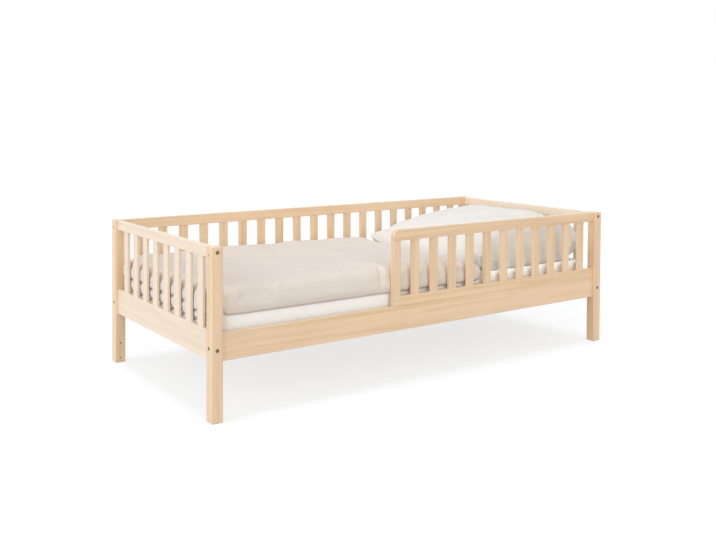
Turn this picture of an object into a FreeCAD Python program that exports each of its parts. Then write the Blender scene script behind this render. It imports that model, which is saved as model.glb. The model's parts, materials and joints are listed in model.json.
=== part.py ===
"""A children's single bed in beech: four posts, panelled ends, a full rear panel, a short
front guard, a slatted base, and the bedding that lies on it.

The bed stands on the floor. X runs along its length with the head end at +X, Y runs across
it with the guard at -Y, and Z points up. The origin is under the middle of the bed.
"""
import FreeCAD
import Part
import Sketcher
import math
import os
import re
from collections import defaultdict

# Driving dimensions in millimetres, and counts.
SIZES = {
    "bed_length": 2090,
    "bed_width": 990,
    "bed_height": 630,
    "post_side": 45,
    "post_edge_radius": 3,
    "post_top_radius": 2,
    "post_foot_chamfer": 3,
    "foot_hole_diameter": 8,
    "foot_hole_depth": 12,
    "foot_hole_low": 21,
    "foot_hole_spacing": 64,
    "rail_thickness": 22,
    "rail_edge_radius": 2,
    "end_recess": 11,
    "side_recess": 14,
    "top_rail_height": 45,
    "end_rail_drop": 2,
    "end_rail_height": 41,
    "end_board_bottom": 218,
    "end_board_height": 108,
    "side_rail_bottom": 217,
    "side_rail_height": 100,
    "lower_rail_height": 40,
    "guard_length": 1224,
    "guard_corner_radius": 28,
    "guard_slat_count": 11,
    "stile_width": 36,
    "rear_slat_count": 19,
    "end_slat_count": 8,
    "slat_width": 42,
    "slat_thickness": 12,
    "slat_edge_radius": 2,
    "tenon_width": 32,
    "tenon_thickness": 9,
    "tenon_length": 10,
    "mortise_gap": 1,
    "fit_clearance": 0.2,
    "cut_overrun": 1,
    "bolt_diameter": 6,
    "bolt_clearance": 1,
    "bolt_overrun": 2,
    "head_diameter": 14,
    "small_head_diameter": 9,
    "head_height": 2.6,
    "head_chamfer": 0.6,
    "head_sink": 0.4,
    "socket_radius": 2.6,
    "socket_depth": 1.8,
    "nut_diameter": 10,
    "nut_length": 14,
    "nut_distance": 30,
    "dowel_diameter": 8,
    "dowel_length": 28,
    "dowel_gap": 1,
    "end_bolt_drop": 20,
    "end_bolt_rise": 43,
    "end_dowel_drop": 36,
    "board_dowel_inset": 20,
    "side_bolt_drop": 31,
    "side_dowel_drop": 14,
    "side_dowel_inset": 20,
    "spare_hole_depth": 12,
    "tie_inset": 75,
    "tie_nut_rise": 15,
    "guard_tie_count": 2,
    "rear_tie_count": 3,
    "ledger_height": 30,
    "ledger_thickness": 25,
    "ledger_end_gap": 2,
    "ledger_screw_inset": 100,
    "ledger_screw_count": 4,
    "screw_diameter": 4,
    "screw_head_diameter": 8,
    "screw_length": 38,
    "base_slat_count": 16,
    "base_slat_width": 68,
    "base_slat_thickness": 16,
    "base_slat_side_gap": 4,
    "base_slat_end_gap": 10,
    "base_slat_radius": 3,
    "strap_width": 25,
    "strap_thickness": 1.5,
    "strap_inset": 120,
    "rest_gap": 0.3,
    "mattress_end_gap": 10,
    "mattress_side_gap": 19,
    "mattress_thickness": 130,
    "mattress_corner_radius": 55,
    "mattress_edge_radius": 18,
    "sheet_thickness": 1.5,
    "sheet_underlap": 60,
    "duvet_pillow_gap": 28,
    "duvet_loft": 88,
    "duvet_flap": 13,
    "duvet_drop": 24,
    "duvet_roll": 46,
    "duvet_foot_drop": 58,
    "duvet_foot_gap": 5,
    "pillow_length": 675,
    "pillow_side_inset": 14,
    "pillow_head_gap": 24,
    "pillow_loft": 212,
    "pillow_seam_rise": 74,
    "pillow_lean": 74,
    "pillow_seam": 16,
    "pillow_pinch": 16,
}

# Along the duvet from its foot end: the place, how full it is there, how far its middle sinks.
DUVET_SHARES = (
    (0.0, 0.56, 0.02), (0.015, 0.76, 0.03), (0.05, 0.92, 0.05), (0.15, 1.0, 0.1),
    (0.28, 0.94, 0.03), (0.41, 0.99, 0.09), (0.54, 0.94, 0.04), (0.66, 0.98, 0.08),
    (0.78, 0.92, 0.05), (0.87, 0.81, 0.04), (0.94, 0.66, 0.03), (0.98, 0.48, 0.02),
    (1.0, 0.3, 0.01),
)
# How much of that sinking its front and rear halves share, and the round of its foot flap.
DUVET_FRONT_SHARE = 0.5
DUVET_REAR_SHARE = 0.33
FLAP_ROUND_SHARE = 0.33
# Places across the pillow from the guard side, and how full it is there.
PILLOW_SHARES = (
    (0.0, 0.1), (0.014, 0.3), (0.045, 0.5), (0.1, 0.7), (0.18, 0.84), (0.31, 0.95), (0.5, 1.0),
    (0.69, 0.95), (0.82, 0.84), (0.9, 0.7), (0.955, 0.5), (0.986, 0.3), (1.0, 0.1),
)
# Its upper outline from foot seam to head seam: places along it, and how high each rises.
PILLOW_FOOT_BULGE_SHARES = (0.26, 0.76)
PILLOW_CROWN_SHARES = (0.7, 1.0)
PILLOW_HEAD_BULGE_SHARES = (0.91, 0.84)
# The stretch along it that lies flat, and how soon its underside reaches the sheet.
PILLOW_REST_SHARES = (0.2, 0.74)
PILLOW_UNDER_SHARE = 2.1

X_AXIS = FreeCAD.Vector(1, 0, 0)
Y_AXIS = FreeCAD.Vector(0, 1, 0)
Z_AXIS = FreeCAD.Vector(0, 0, 1)
UP = (0, 0, 1)
PARALLEL_SHARE = 0.99
SMALL_SHARE = 0.001
DIAGONAL_SHARE = math.sqrt(1 / 2)

doc = FreeCAD.newDocument("ChildrensBed")
sheet = doc.addObject("Spreadsheet::Sheet", "Sizes")
for row, (size_name, size_value) in enumerate(SIZES.items(), start=1):
    sheet.set(f"A{row}", size_name)
    sheet.set(f"B{row}", str(size_value))
    sheet.setAlias(f"B{row}", size_name)
doc.recompute()

SIZE_WORDS = re.compile(r"\b(" + "|".join(SIZES) + r")\b")
nodes = {}
blanks = {}
cutters = defaultdict(list)
groups = {}
fasteners = defaultdict(list)


def read(name):
    """Read one driving dimension back from the sheet."""
    return float(sheet.get(name))


def count(name):
    """Read one count back from the sheet."""
    return int(round(read(name)))


def bind(thing, target, text):
    """Tie a property or constraint to a sum of size names."""
    thing.setExpression(target, SIZE_WORDS.sub(r"Sizes.\1", text))


def place(thing, point, turn=None):
    """Put an object at a point written in size names, turned as asked."""
    if turn is not None:
        thing.Placement = FreeCAD.Placement(FreeCAD.Vector(), turn)
    for axis, text in zip("xyz", point):
        bind(thing, f"Placement.Base.{axis}", text)


def along(point, direction, distance):
    """Move a point that is written in size names along a unit direction."""
    moved = []
    for text, part in zip(point, direction):
        moved.append(f"{text} + {part} * ({distance})" if part else text)
    return tuple(moved)


def turned(z_direction, x_direction=None):
    """The rotation that takes local Z, and local X if given, to these directions."""
    z_vector = FreeCAD.Vector(*z_direction)
    if x_direction is None:
        return FreeCAD.Rotation(Z_AXIS, z_vector)
    x_vector = FreeCAD.Vector(*x_direction)
    return FreeCAD.Rotation(x_vector, z_vector.cross(x_vector), z_vector, "ZXY")


# Sketches and features

def new_sketch(body, name, plane_role, rise=None):
    """A sketch on one of the body's own planes, raised from it by a formula."""
    sketch = body.newObject("Sketcher::SketchObject", name)
    plane = next(part for part in body.Origin.OriginFeatures if part.Role == plane_role)
    sketch.AttachmentSupport = [(plane, "")]
    sketch.MapMode = "FlatFace"
    if rise is not None:
        bind(sketch, "AttachmentOffset.Base.z", rise)
    return sketch


def draw_rectangle(sketch, width, height):
    """A rectangle centred on the sketch's origin."""
    corners = [FreeCAD.Vector(x, y, 0) for x, y in ((-1, -1), (1, -1), (1, 1), (-1, 1))]
    for start in range(4):
        sketch.addGeometry(Part.LineSegment(corners[start], corners[(start + 1) % 4]), False)
    for start in range(4):
        sketch.addConstraint(Sketcher.Constraint("Coincident", start, 2, (start + 1) % 4, 1))
    for line in (0, 2):
        sketch.addConstraint(Sketcher.Constraint("Horizontal", line))
    for line in (1, 3):
        sketch.addConstraint(Sketcher.Constraint("Vertical", line))
    sketch.addConstraint(Sketcher.Constraint("Symmetric", 0, 1, 1, 2, -1, 1))
    across = sketch.addConstraint(Sketcher.Constraint("DistanceX", 0, 1, 0, 2, 2.0))
    upward = sketch.addConstraint(Sketcher.Constraint("DistanceY", 1, 1, 1, 2, 2.0))
    bind(sketch, f"Constraints[{across}]", width)
    bind(sketch, f"Constraints[{upward}]", height)


def new_body(label):
    """An empty body, known by its label until it is drilled."""
    body = doc.addObject("PartDesign::Body", label)
    body.Label = label
    return body


def add_pad(body, name, sketch, length, symmetric=True):
    """Pad a sketch, both ways from its plane unless told otherwise."""
    pad = body.newObject("PartDesign::Pad", name)
    pad.Profile = sketch
    if symmetric:
        pad.SideType = "Symmetric"
    bind(pad, "Length", length)
    body.Tip = pad
    doc.recompute([pad])
    return pad


def edges_of(feature, test):
    """The names of the feature's edges that pass a test."""
    numbered = enumerate(feature.Shape.Edges, start=1)
    return [f"Edge{number}" for number, edge in numbered if test(edge)]


def runs_along(edge, axis):
    """Whether an edge is straight and parallel to an axis."""
    if edge.Curve.TypeId != "Part::GeomLine":
        return False
    return abs(edge.Curve.Direction.dot(axis)) > PARALLEL_SHARE


def round_edges(body, test, radius, kind="Fillet"):
    """Fillet or chamfer those edges of the body's tip that pass a test."""
    base = body.Tip
    feature = body.newObject(f"PartDesign::{kind}", kind)
    feature.Base = (base, edges_of(base, test))
    bind(feature, "Radius" if kind == "Fillet" else "Size", radius)
    body.Tip = feature
    doc.recompute([feature])
    return feature


def bar(label, plane_role, width, height, length, radius=None):
    """A straight bar with a rectangular section and rounded long edges, centred on its origin."""
    body = new_body(label)
    section = new_sketch(body, "Section", plane_role)
    draw_rectangle(section, width, height)
    pad = add_pad(body, "Length", section, length)
    normal = {"YZ_Plane": X_AXIS, "XZ_Plane": Y_AXIS, "XY_Plane": Z_AXIS}[plane_role]
    if radius is not None:
        round_edges(body, lambda edge: runs_along(edge, normal), radius)
    return body


def cut_mortises(body, side, rail_height, first, width, thickness, number=None, pitch=None):
    """Sink a row of mortises into a rail's upper (+1) or lower (-1) edge."""
    mouth = new_sketch(body, "Mortise", "XY_Plane", f"{side} * {rail_height} / 2")
    bind(mouth, "AttachmentOffset.Base.x", first)
    draw_rectangle(mouth, f"{width} + fit_clearance", f"{thickness} + fit_clearance")
    before = body.Tip.Shape.Volume
    pocket = body.newObject("PartDesign::Pocket", "MortisePocket")
    pocket.Profile = mouth
    pocket.Reversed = side < 0
    bind(pocket, "Length", "tenon_length + mortise_gap")
    body.Tip = pocket
    doc.recompute()
    if pocket.Shape.Volume >= before:
        raise RuntimeError(f"{body.Label}: a mortise cuts nothing")
    if number is not None:
        row_of = body.newObject("PartDesign::LinearPattern", "MortiseRow")
        row_of.Originals = [pocket]
        row_of.Direction = (mouth, ["H_Axis"])
        bind(row_of, "Length", f"({number} - 1) * {pitch}")
        bind(row_of, "Occurrences", number)
        body.Tip = row_of
        doc.recompute()


# Cutters and fasteners

def drill(point, direction, diameter, depth):
    """A round cutter that starts at a point and runs in a direction."""
    tool = doc.addObject("Part::Cylinder", "Drill")
    bind(tool, "Radius", f"({diameter}) / 2")
    bind(tool, "Height", depth)
    place(tool, point, turned(direction))
    return tool


def countersink(point, direction):
    """The cone that a wood screw's head sits in."""
    tool = doc.addObject("Part::Cone", "Countersink")
    bind(tool, "Radius1", "(screw_head_diameter + fit_clearance) / 2")
    bind(tool, "Radius2", "(screw_diameter + fit_clearance) / 2")
    bind(tool, "Height", "(screw_head_diameter - screw_diameter) / 2")
    place(tool, point, turned(direction))
    return tool


def fuse(label, parts):
    """One solid out of several overlapping ones."""
    joined = doc.addObject("Part::MultiFuse", label)
    joined.Label = label
    joined.Shapes = parts
    return joined


def cylinder(name, diameter, height, rise="0"):
    """A cylinder on the Z axis."""
    solid = doc.addObject("Part::Cylinder", name)
    bind(solid, "Radius", f"({diameter}) / 2")
    bind(solid, "Height", height)
    place(solid, ("0", "0", rise))
    return solid


def cone(name, low_diameter, high_diameter, height, rise="0"):
    """A cone on the Z axis."""
    solid = doc.addObject("Part::Cone", name)
    bind(solid, "Radius1", f"({low_diameter}) / 2")
    bind(solid, "Radius2", f"({high_diameter}) / 2")
    bind(solid, "Height", height)
    place(solid, ("0", "0", rise))
    return solid


def make_bolt(label, head_diameter, shank_length):
    """A flat-headed bolt with a hexagon socket. Its head starts at the origin, driven to +Z."""
    rim = cone(f"{label}_rim", f"{head_diameter} - 2 * head_chamfer", head_diameter, "head_chamfer")
    disc = cylinder(f"{label}_disc", head_diameter, "head_height - head_chamfer", "head_chamfer")
    shank = cylinder(f"{label}_shank", "bolt_diameter", shank_length, "head_height")
    socket = doc.addObject("Part::Prism", f"{label}_socket")
    bind(socket, "Circumradius", "socket_radius")
    bind(socket, "Height", "socket_depth")
    bolt = doc.addObject("Part::Cut", label)
    bolt.Label = label
    bolt.Base = fuse(f"{label}_body", [rim, disc, shank])
    bolt.Tool = socket
    return bolt


def make_nut():
    """A barrel nut on the Z axis, centred, with its threaded hole along X."""
    barrel = cylinder("nut_barrel", "nut_diameter", "nut_length", "-nut_length / 2")
    bore = drill(("-nut_diameter / 2", "0", "0"), (1, 0, 0), "bolt_diameter + fit_clearance",
                 "nut_diameter")
    nut = doc.addObject("Part::Cut", "barrel_nut")
    nut.Label = "barrel_nut"
    nut.Base = barrel
    nut.Tool = bore
    return nut


def make_screw():
    """A countersunk wood screw. Its head starts at the origin, driven to +Z."""
    head = cone("screw_head", "screw_head_diameter", "screw_diameter",
                "(screw_head_diameter - screw_diameter) / 2")
    shank = cylinder("screw_shank", "screw_diameter", "screw_length")
    return fuse("wood_screw", [head, shank])


def copy_to(group, master, point, turn):
    """Place one more of a fastener, and keep it for the group's node."""
    copy = doc.addObject("App::Link", f"{master.Label}_{len(fasteners[group]) + 1:02d}")
    copy.LinkedObject = master
    place(copy, point, turn)
    fasteners[group].append(copy)


def drill_pieces(labels, tool):
    """Let one cutter make its hole in each of these pieces."""
    for label in labels:
        cutters[label].append(tool)


def bolt_through(pieces, face, inward, depth, nut_way, nut_mouth, bolt, head):
    """A bolt through the first piece into the second, with a barrel nut across its end.

    face is where the bolt's axis meets the first piece's outer face, depth reaches from
    there to the nut, and nut_way runs from the nut hole's mouth, nut_mouth away from the
    bolt's axis, to the bolt.
    """
    outside = along(face, inward, "-cut_overrun")
    shank_hole = drill(outside, inward, "bolt_diameter + bolt_clearance",
                       f"cut_overrun + {depth} + nut_diameter / 2 + 2 * bolt_overrun")
    drill_pieces(pieces, shank_hole)
    head_hole = drill(outside, inward, f"{head} + bolt_clearance",
                      "cut_overrun + head_height + head_sink")
    drill_pieces(pieces[:1], head_hole)
    nut_point = along(face, inward, depth)
    mouth = along(nut_point, nut_way, f"-({nut_mouth} + cut_overrun)")
    nut_hole = drill(mouth, nut_way, "nut_diameter + fit_clearance",
                     f"{nut_mouth} + cut_overrun + nut_length / 2 + fit_clearance")
    drill_pieces(pieces[1:], nut_hole)
    copy_to(f"{bolt.Label}s", bolt, along(face, inward, "head_sink"), turned(inward))
    copy_to("barrel_nuts", barrel_nut, nut_point, turned(nut_way, inward))


def dowel_between(pieces, point, direction):
    """A dowel half in each of two pieces that meet at a point."""
    start = along(point, direction, "-(dowel_length / 2 + dowel_gap)")
    hole = drill(start, direction, "dowel_diameter + fit_clearance", "dowel_length + 2 * dowel_gap")
    drill_pieces(pieces, hole)
    copy_to("dowels", dowel, along(point, direction, "-dowel_length / 2"), turned(direction))


def screw_into(pieces, face, direction):
    """A countersunk screw through the first piece into the second."""
    hole = drill(face, direction, "screw_diameter + fit_clearance", "screw_length + fit_clearance")
    drill_pieces(pieces, hole)
    drill_pieces(pieces[:1], countersink(face, direction))
    copy_to("wood_screws", wood_screw, face, turned(direction))


# Places that several pieces share

CLEAR_LENGTH = "(bed_length - 2 * post_side)"
CLEAR_WIDTH = "(bed_width - 2 * post_side)"
POST_X = "(bed_length - post_side) / 2"
POST_Y = "(bed_width - post_side) / 2"
END_X = "(bed_length / 2 - end_recess - rail_thickness / 2)"
SIDE_Y = "(bed_width / 2 - side_recess - rail_thickness / 2)"
TOP_RAIL_Z = "(bed_height - top_rail_height / 2)"
SIDE_RAIL_TOP = "(side_rail_bottom + side_rail_height)"
LOWER_RAIL_Z = f"({SIDE_RAIL_TOP} + lower_rail_height / 2)"
LOWER_RAIL_TOP = f"({SIDE_RAIL_TOP} + lower_rail_height)"
TOP_RAIL_BOTTOM = "(bed_height - top_rail_height)"
END_RAIL_TOP = "(bed_height - end_rail_drop)"
END_RAIL_BOTTOM = f"({END_RAIL_TOP} - end_rail_height)"
END_BOARD_TOP = "(end_board_bottom + end_board_height)"
NUT_DEPTH = "(post_side + nut_distance)"
ENDS = (("foot", -1), ("head", 1))
SIDES = (("front", -1), ("rear", 1))

# The masters that the fastener groups repeat

SHANK_LENGTH = f"{NUT_DEPTH} + nut_diameter / 2 + bolt_overrun - head_sink - head_height"
TIE_DEPTH = "(side_rail_height + tie_nut_rise)"
TIE_LENGTH = f"{TIE_DEPTH} + nut_diameter / 2 + bolt_overrun - head_sink - head_height"
connector_bolt = make_bolt("connector_bolt", "head_diameter", SHANK_LENGTH)
top_rail_bolt = make_bolt("top_rail_bolt", "small_head_diameter", SHANK_LENGTH)
tie_bolt = make_bolt("tie_bolt", "head_diameter", TIE_LENGTH)
barrel_nut = make_nut()
dowel = cylinder("dowel", "dowel_diameter", "dowel_length")
wood_screw = make_screw()


# Posts

def make_post(label, sign_x, sign_y):
    """A square post, softened on its long edges and top, chamfered at its foot."""
    body = new_body(f"{label}_blank")
    section = new_sketch(body, "Section", "XY_Plane")
    draw_rectangle(section, "post_side", "post_side")
    add_pad(body, "Height", section, "bed_height", symmetric=False)
    round_edges(body, lambda edge: runs_along(edge, Z_AXIS), "post_edge_radius")
    top = read("bed_height") * (1 - SMALL_SHARE)
    round_edges(body, lambda edge: edge.BoundBox.ZMin > top, "post_top_radius")
    low = read("bed_height") * SMALL_SHARE
    round_edges(body, lambda edge: edge.BoundBox.ZMax < low, "post_foot_chamfer", "Chamfer")
    place(body, (f"{sign_x} * {POST_X}", f"{sign_y} * {POST_Y}", "0"))
    blanks[label] = body
    inner_face = f"{sign_y} * (bed_width / 2 - post_side)"
    for height in ("foot_hole_low", "foot_hole_low + foot_hole_spacing"):
        mouth = (f"{sign_x} * {POST_X}", f"{inner_face} - {sign_y} * cut_overrun", height)
        hole = drill(mouth, (0, sign_y, 0), "foot_hole_diameter", "foot_hole_depth + cut_overrun")
        drill_pieces([label], hole)


for end, sign_x in ENDS:
    for side, sign_y in SIDES:
        make_post(f"{side}_{end}_post", sign_x, sign_y)

# The guard can be fitted at either end, so the front foot post has its bolt's hole too.
spare_mouth = ("-bed_length / 2 - cut_overrun", f"-{SIDE_Y}", "bed_height - side_bolt_drop")
spare_hole = drill(spare_mouth, (1, 0, 0), "small_head_diameter",
                   "spare_hole_depth + cut_overrun")
drill_pieces(["front_foot_post"], spare_hole)


# Slats of the panels

def make_slat(label, width, thickness, length, tenon=("tenon_width", "tenon_thickness")):
    """An upright slat with a stub tenon at each end, centred on its origin."""
    body = new_body(label)
    section = new_sketch(body, "Section", "XY_Plane")
    draw_rectangle(section, width, thickness)
    add_pad(body, "Length", section, length)
    round_edges(body, lambda edge: runs_along(edge, Z_AXIS), "slat_edge_radius")
    core = new_sketch(body, "Tenon", "XY_Plane")
    draw_rectangle(core, *tenon)
    add_pad(body, "Tenons", core, f"{length} + 2 * tenon_length")
    return body


def even_pitch(clear, number, width):
    """The distance between the centres of slats that leave equal gaps in a clear width."""
    return f"(({clear} - {number} * {width}) / ({number} + 1) + {width})"


END_PITCH = even_pitch(CLEAR_WIDTH, "end_slat_count", "slat_width")
REAR_PITCH = even_pitch(CLEAR_LENGTH, "rear_slat_count", "slat_width")
GUARD_CLEAR = "(guard_length - stile_width)"
GUARD_PITCH = even_pitch(GUARD_CLEAR, "guard_slat_count", "slat_width")
QUARTER_TURN = FreeCAD.Rotation(Z_AXIS, 90)


# End panels

def make_end_panel(end, sign_x):
    """The head or foot panel: a top rail, a deep lower board and a row of slats."""
    rail = bar(f"{end}_top_rail_blank", "YZ_Plane", "rail_thickness", "end_rail_height",
               CLEAR_WIDTH, "rail_edge_radius")
    board = bar(f"{end}_board_blank", "YZ_Plane", "rail_thickness", "end_board_height",
                CLEAR_WIDTH, "rail_edge_radius")
    first = f"-(end_slat_count - 1) / 2 * {END_PITCH}"
    for member, side, height in ((rail, -1, "end_rail_height"), (board, 1, "end_board_height")):
        cut_mortises(member, side, height, first, "tenon_width", "tenon_thickness",
                     "end_slat_count", END_PITCH)
    rail_z = f"({END_RAIL_TOP} + {END_RAIL_BOTTOM}) / 2"
    place(rail, (f"{sign_x} * {END_X}", "0", rail_z), QUARTER_TURN)
    board_z = "end_board_bottom + end_board_height / 2"
    place(board, (f"{sign_x} * {END_X}", "0", board_z), QUARTER_TURN)
    blanks[f"{end}_top_rail"] = rail
    blanks[f"{end}_board"] = board
    for number in range(count("end_slat_count")):
        label = f"{end}_slat_{number + 1:02d}"
        slat = make_slat(label, "slat_width", "slat_thickness",
                         f"({END_RAIL_BOTTOM} - {END_BOARD_TOP})")
        place(slat, (f"{sign_x} * {END_X}", f"{first} + {number} * {END_PITCH}",
                     f"({END_RAIL_BOTTOM} + {END_BOARD_TOP}) / 2"), QUARTER_TURN)
        nodes[label] = slat


def fasten_end_panel(end, sign_x):
    """Bolt and dowel the end panel between its two posts."""
    for side, sign_y in SIDES:
        post = f"{side}_{end}_post"
        inward = (0, -sign_y, 0)
        outward_x = (sign_x, 0, 0)
        x_text = f"{sign_x} * {END_X}"
        face_y = f"{sign_y} * bed_width / 2"
        joint_y = f"{sign_y} * {CLEAR_WIDTH} / 2"
        top_z = "bed_height - end_bolt_drop"
        bolt_through([post, f"{end}_top_rail"], (x_text, face_y, top_z), inward, NUT_DEPTH,
                     UP, f"({top_z} - {END_RAIL_BOTTOM})", connector_bolt, "head_diameter")
        low_z = "end_board_bottom + end_bolt_rise"
        bolt_through([post, f"{end}_board"], (x_text, face_y, low_z), inward, NUT_DEPTH,
                     outward_x, "(rail_thickness / 2)", connector_bolt, "head_diameter")
        dowel_between([post, f"{end}_top_rail"],
                      (x_text, joint_y, "bed_height - end_dowel_drop"), inward)
        for z_text in ("end_board_bottom + board_dowel_inset",
                       f"{END_BOARD_TOP} - board_dowel_inset"):
            dowel_between([post, f"{end}_board"], (x_text, joint_y, z_text), inward)


for end, sign_x in ENDS:
    make_end_panel(end, sign_x)
    fasten_end_panel(end, sign_x)


# Side rails and the ledgers that carry the base

def make_side(side, sign_y):
    """A side rail from post to post, with a ledger screwed to the foot of its inner face."""
    rail = bar(f"{side}_side_rail_blank", "YZ_Plane", "rail_thickness", "side_rail_height",
               CLEAR_LENGTH, "rail_edge_radius")
    place(rail, ("0", f"{sign_y} * {SIDE_Y}", "side_rail_bottom + side_rail_height / 2"))
    blanks[f"{side}_side_rail"] = rail
    ledger = bar(f"{side}_ledger_blank", "YZ_Plane", "ledger_thickness", "ledger_height",
                 f"{CLEAR_LENGTH} - 2 * ledger_end_gap", "rail_edge_radius")
    ledger_y = f"{sign_y} * ({SIDE_Y} - rail_thickness / 2 - ledger_thickness / 2)"
    ledger_z = "side_rail_bottom + ledger_height / 2"
    place(ledger, ("0", ledger_y, ledger_z))
    blanks[f"{side}_ledger"] = ledger
    screw_span = f"({CLEAR_LENGTH} - 2 * ledger_screw_inset)"
    face_y = f"{sign_y} * ({SIDE_Y} - rail_thickness / 2 - ledger_thickness)"
    for number in range(count("ledger_screw_count")):
        x_text = f"({number} / (ledger_screw_count - 1) - 1 / 2) * {screw_span}"
        screw_into([f"{side}_ledger", f"{side}_side_rail"], (x_text, face_y, ledger_z),
                   (0, sign_y, 0))


def fasten_side(side, sign_y):
    """Bolt and dowel a side rail between its two posts."""
    for end, sign_x in ENDS:
        post = f"{side}_{end}_post"
        inward = (-sign_x, 0, 0)
        y_text = f"{sign_y} * {SIDE_Y}"
        face = (f"{sign_x} * bed_length / 2", y_text, "side_rail_bottom + side_rail_height / 2")
        bolt_through([post, f"{side}_side_rail"], face, inward, NUT_DEPTH, (0, sign_y, 0),
                     "(rail_thickness / 2)", connector_bolt, "head_diameter")
        joint_x = f"{sign_x} * {CLEAR_LENGTH} / 2"
        for z_text in ("side_rail_bottom + side_dowel_inset",
                       f"{SIDE_RAIL_TOP} - side_dowel_inset"):
            dowel_between([post, f"{side}_side_rail"], (joint_x, y_text, z_text), inward)


for side, sign_y in SIDES:
    make_side(side, sign_y)
    fasten_side(side, sign_y)


# Rear panel and front guard

def fasten_panel(panel, side, sign_y, ends, first, ties):
    """Hold a panel to its posts with small bolts, and down to its side rail with long ones."""
    y_text = f"{sign_y} * {SIDE_Y}"
    for end, sign_x in ends:
        post = f"{side}_{end}_post"
        inward = (-sign_x, 0, 0)
        joint_x = f"{sign_x} * {CLEAR_LENGTH} / 2"
        face = (f"{sign_x} * bed_length / 2", y_text, "bed_height - side_bolt_drop")
        bolt_through([post, f"{panel}_top_rail"], face, inward, NUT_DEPTH, UP,
                     "(top_rail_height - side_bolt_drop)", top_rail_bolt, "small_head_diameter")
        dowel_between([post, f"{panel}_top_rail"],
                      (joint_x, y_text, "bed_height - side_dowel_drop"), inward)
        dowel_between([post, f"{panel}_lower_rail"], (joint_x, y_text, LOWER_RAIL_Z), inward)
    tie_pitch = f"({CLEAR_LENGTH} / 2 - tie_inset - ({first})) / ({ties} - 1)"
    pieces = [f"{side}_side_rail", f"{panel}_lower_rail"]
    for number in range(count(ties)):
        x_text = f"{first} + {number} * {tie_pitch}"
        bolt_through(pieces, (x_text, y_text, "side_rail_bottom"), UP, TIE_DEPTH,
                     (0, sign_y, 0), "(rail_thickness / 2)", tie_bolt, "head_diameter")


UPRIGHT_LENGTH = f"({TOP_RAIL_BOTTOM} - {LOWER_RAIL_TOP})"
UPRIGHT_Z = f"({TOP_RAIL_BOTTOM} + {LOWER_RAIL_TOP}) / 2"
GUARD_X = "(bed_length / 2 - post_side - guard_length / 2)"
REAR_FIRST = f"-(rear_slat_count - 1) / 2 * {REAR_PITCH}"
GUARD_FIRST = f"stile_width / 2 - (guard_slat_count - 1) / 2 * {GUARD_PITCH}"
STILE_PLACE = "-(guard_length - stile_width) / 2"


def make_rear_panel():
    """The rear panel: two rails from post to post, with a row of slats between them."""
    for part, height, z_text, side in (("top", "top_rail_height", TOP_RAIL_Z, -1),
                                       ("lower", "lower_rail_height", LOWER_RAIL_Z, 1)):
        rail = bar(f"rear_{part}_rail_blank", "YZ_Plane", "rail_thickness", height,
                   CLEAR_LENGTH, "rail_edge_radius")
        cut_mortises(rail, side, height, REAR_FIRST, "tenon_width", "tenon_thickness",
                     "rear_slat_count", REAR_PITCH)
        place(rail, ("0", SIDE_Y, z_text))
        blanks[f"rear_{part}_rail"] = rail
    slats = []
    for number in range(count("rear_slat_count")):
        slat = make_slat(f"rear_slat_{number + 1:02d}", "slat_width", "slat_thickness",
                         UPRIGHT_LENGTH)
        place(slat, (f"{REAR_FIRST} + {number} * {REAR_PITCH}", SIDE_Y, UPRIGHT_Z))
        slats.append(slat)
    half = (len(slats) + 1) // 2
    groups["rear_slats_foot_half"] = slats[:half]
    groups["rear_slats_head_half"] = slats[half:]


def on_broad_face(edge):
    """Whether an edge of a guard rail lies on its front or rear face, the ends left out."""
    middle = edge.CenterOfMass
    at_face = abs(middle.y) > read("rail_thickness") / 2 * PARALLEL_SHARE
    return at_face and not runs_along(edge, Z_AXIS)


def make_guard():
    """The short guard: two rails and a stile at its free end, with slats up to the head post."""
    free_end = -read("guard_length") / 2 * PARALLEL_SHARE
    for part, height, z_text, side in (("top", "top_rail_height", TOP_RAIL_Z, -1),
                                       ("lower", "lower_rail_height", LOWER_RAIL_Z, 1)):
        rail = bar(f"guard_{part}_rail_blank", "YZ_Plane", "rail_thickness", height,
                   "guard_length")
        if part == "top":
            round_edges(rail, lambda edge: runs_along(edge, Y_AXIS)
                        and edge.CenterOfMass.x < free_end and edge.CenterOfMass.z > 0,
                        "guard_corner_radius")
        round_edges(rail, on_broad_face, "rail_edge_radius")
        cut_mortises(rail, side, height, GUARD_FIRST, "tenon_width", "tenon_thickness",
                     "guard_slat_count", GUARD_PITCH)
        cut_mortises(rail, side, height, STILE_PLACE, "tenon_width", "tenon_thickness")
        place(rail, (GUARD_X, f"-{SIDE_Y}", z_text))
        blanks[f"guard_{part}_rail"] = rail
    stile = make_slat("guard_stile", "stile_width", "rail_thickness", UPRIGHT_LENGTH)
    place(stile, (f"{GUARD_X} + {STILE_PLACE}", f"-{SIDE_Y}", UPRIGHT_Z))
    nodes["guard_stile"] = stile
    for number in range(count("guard_slat_count")):
        label = f"guard_slat_{number + 1:02d}"
        slat = make_slat(label, "slat_width", "slat_thickness", UPRIGHT_LENGTH)
        place(slat, (f"{GUARD_X} + {GUARD_FIRST} + {number} * {GUARD_PITCH}", f"-{SIDE_Y}",
                     UPRIGHT_Z))
        nodes[label] = slat


make_rear_panel()
fasten_panel("rear", "rear", 1, ENDS, f"tie_inset - {CLEAR_LENGTH} / 2", "rear_tie_count")
make_guard()
fasten_panel("guard", "front", -1, ENDS[1:], f"{GUARD_X} + {STILE_PLACE}", "guard_tie_count")


# Slatted base

BASE_SLAT_BOTTOM = "(side_rail_bottom + ledger_height)"
BASE_TOP = f"({BASE_SLAT_BOTTOM} + base_slat_thickness)"
BASE_SLAT_LENGTH = f"(2 * ({SIDE_Y} - rail_thickness / 2 - base_slat_side_gap))"
BASE_SPAN = f"({CLEAR_LENGTH} - 2 * base_slat_end_gap - base_slat_width)"


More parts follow.
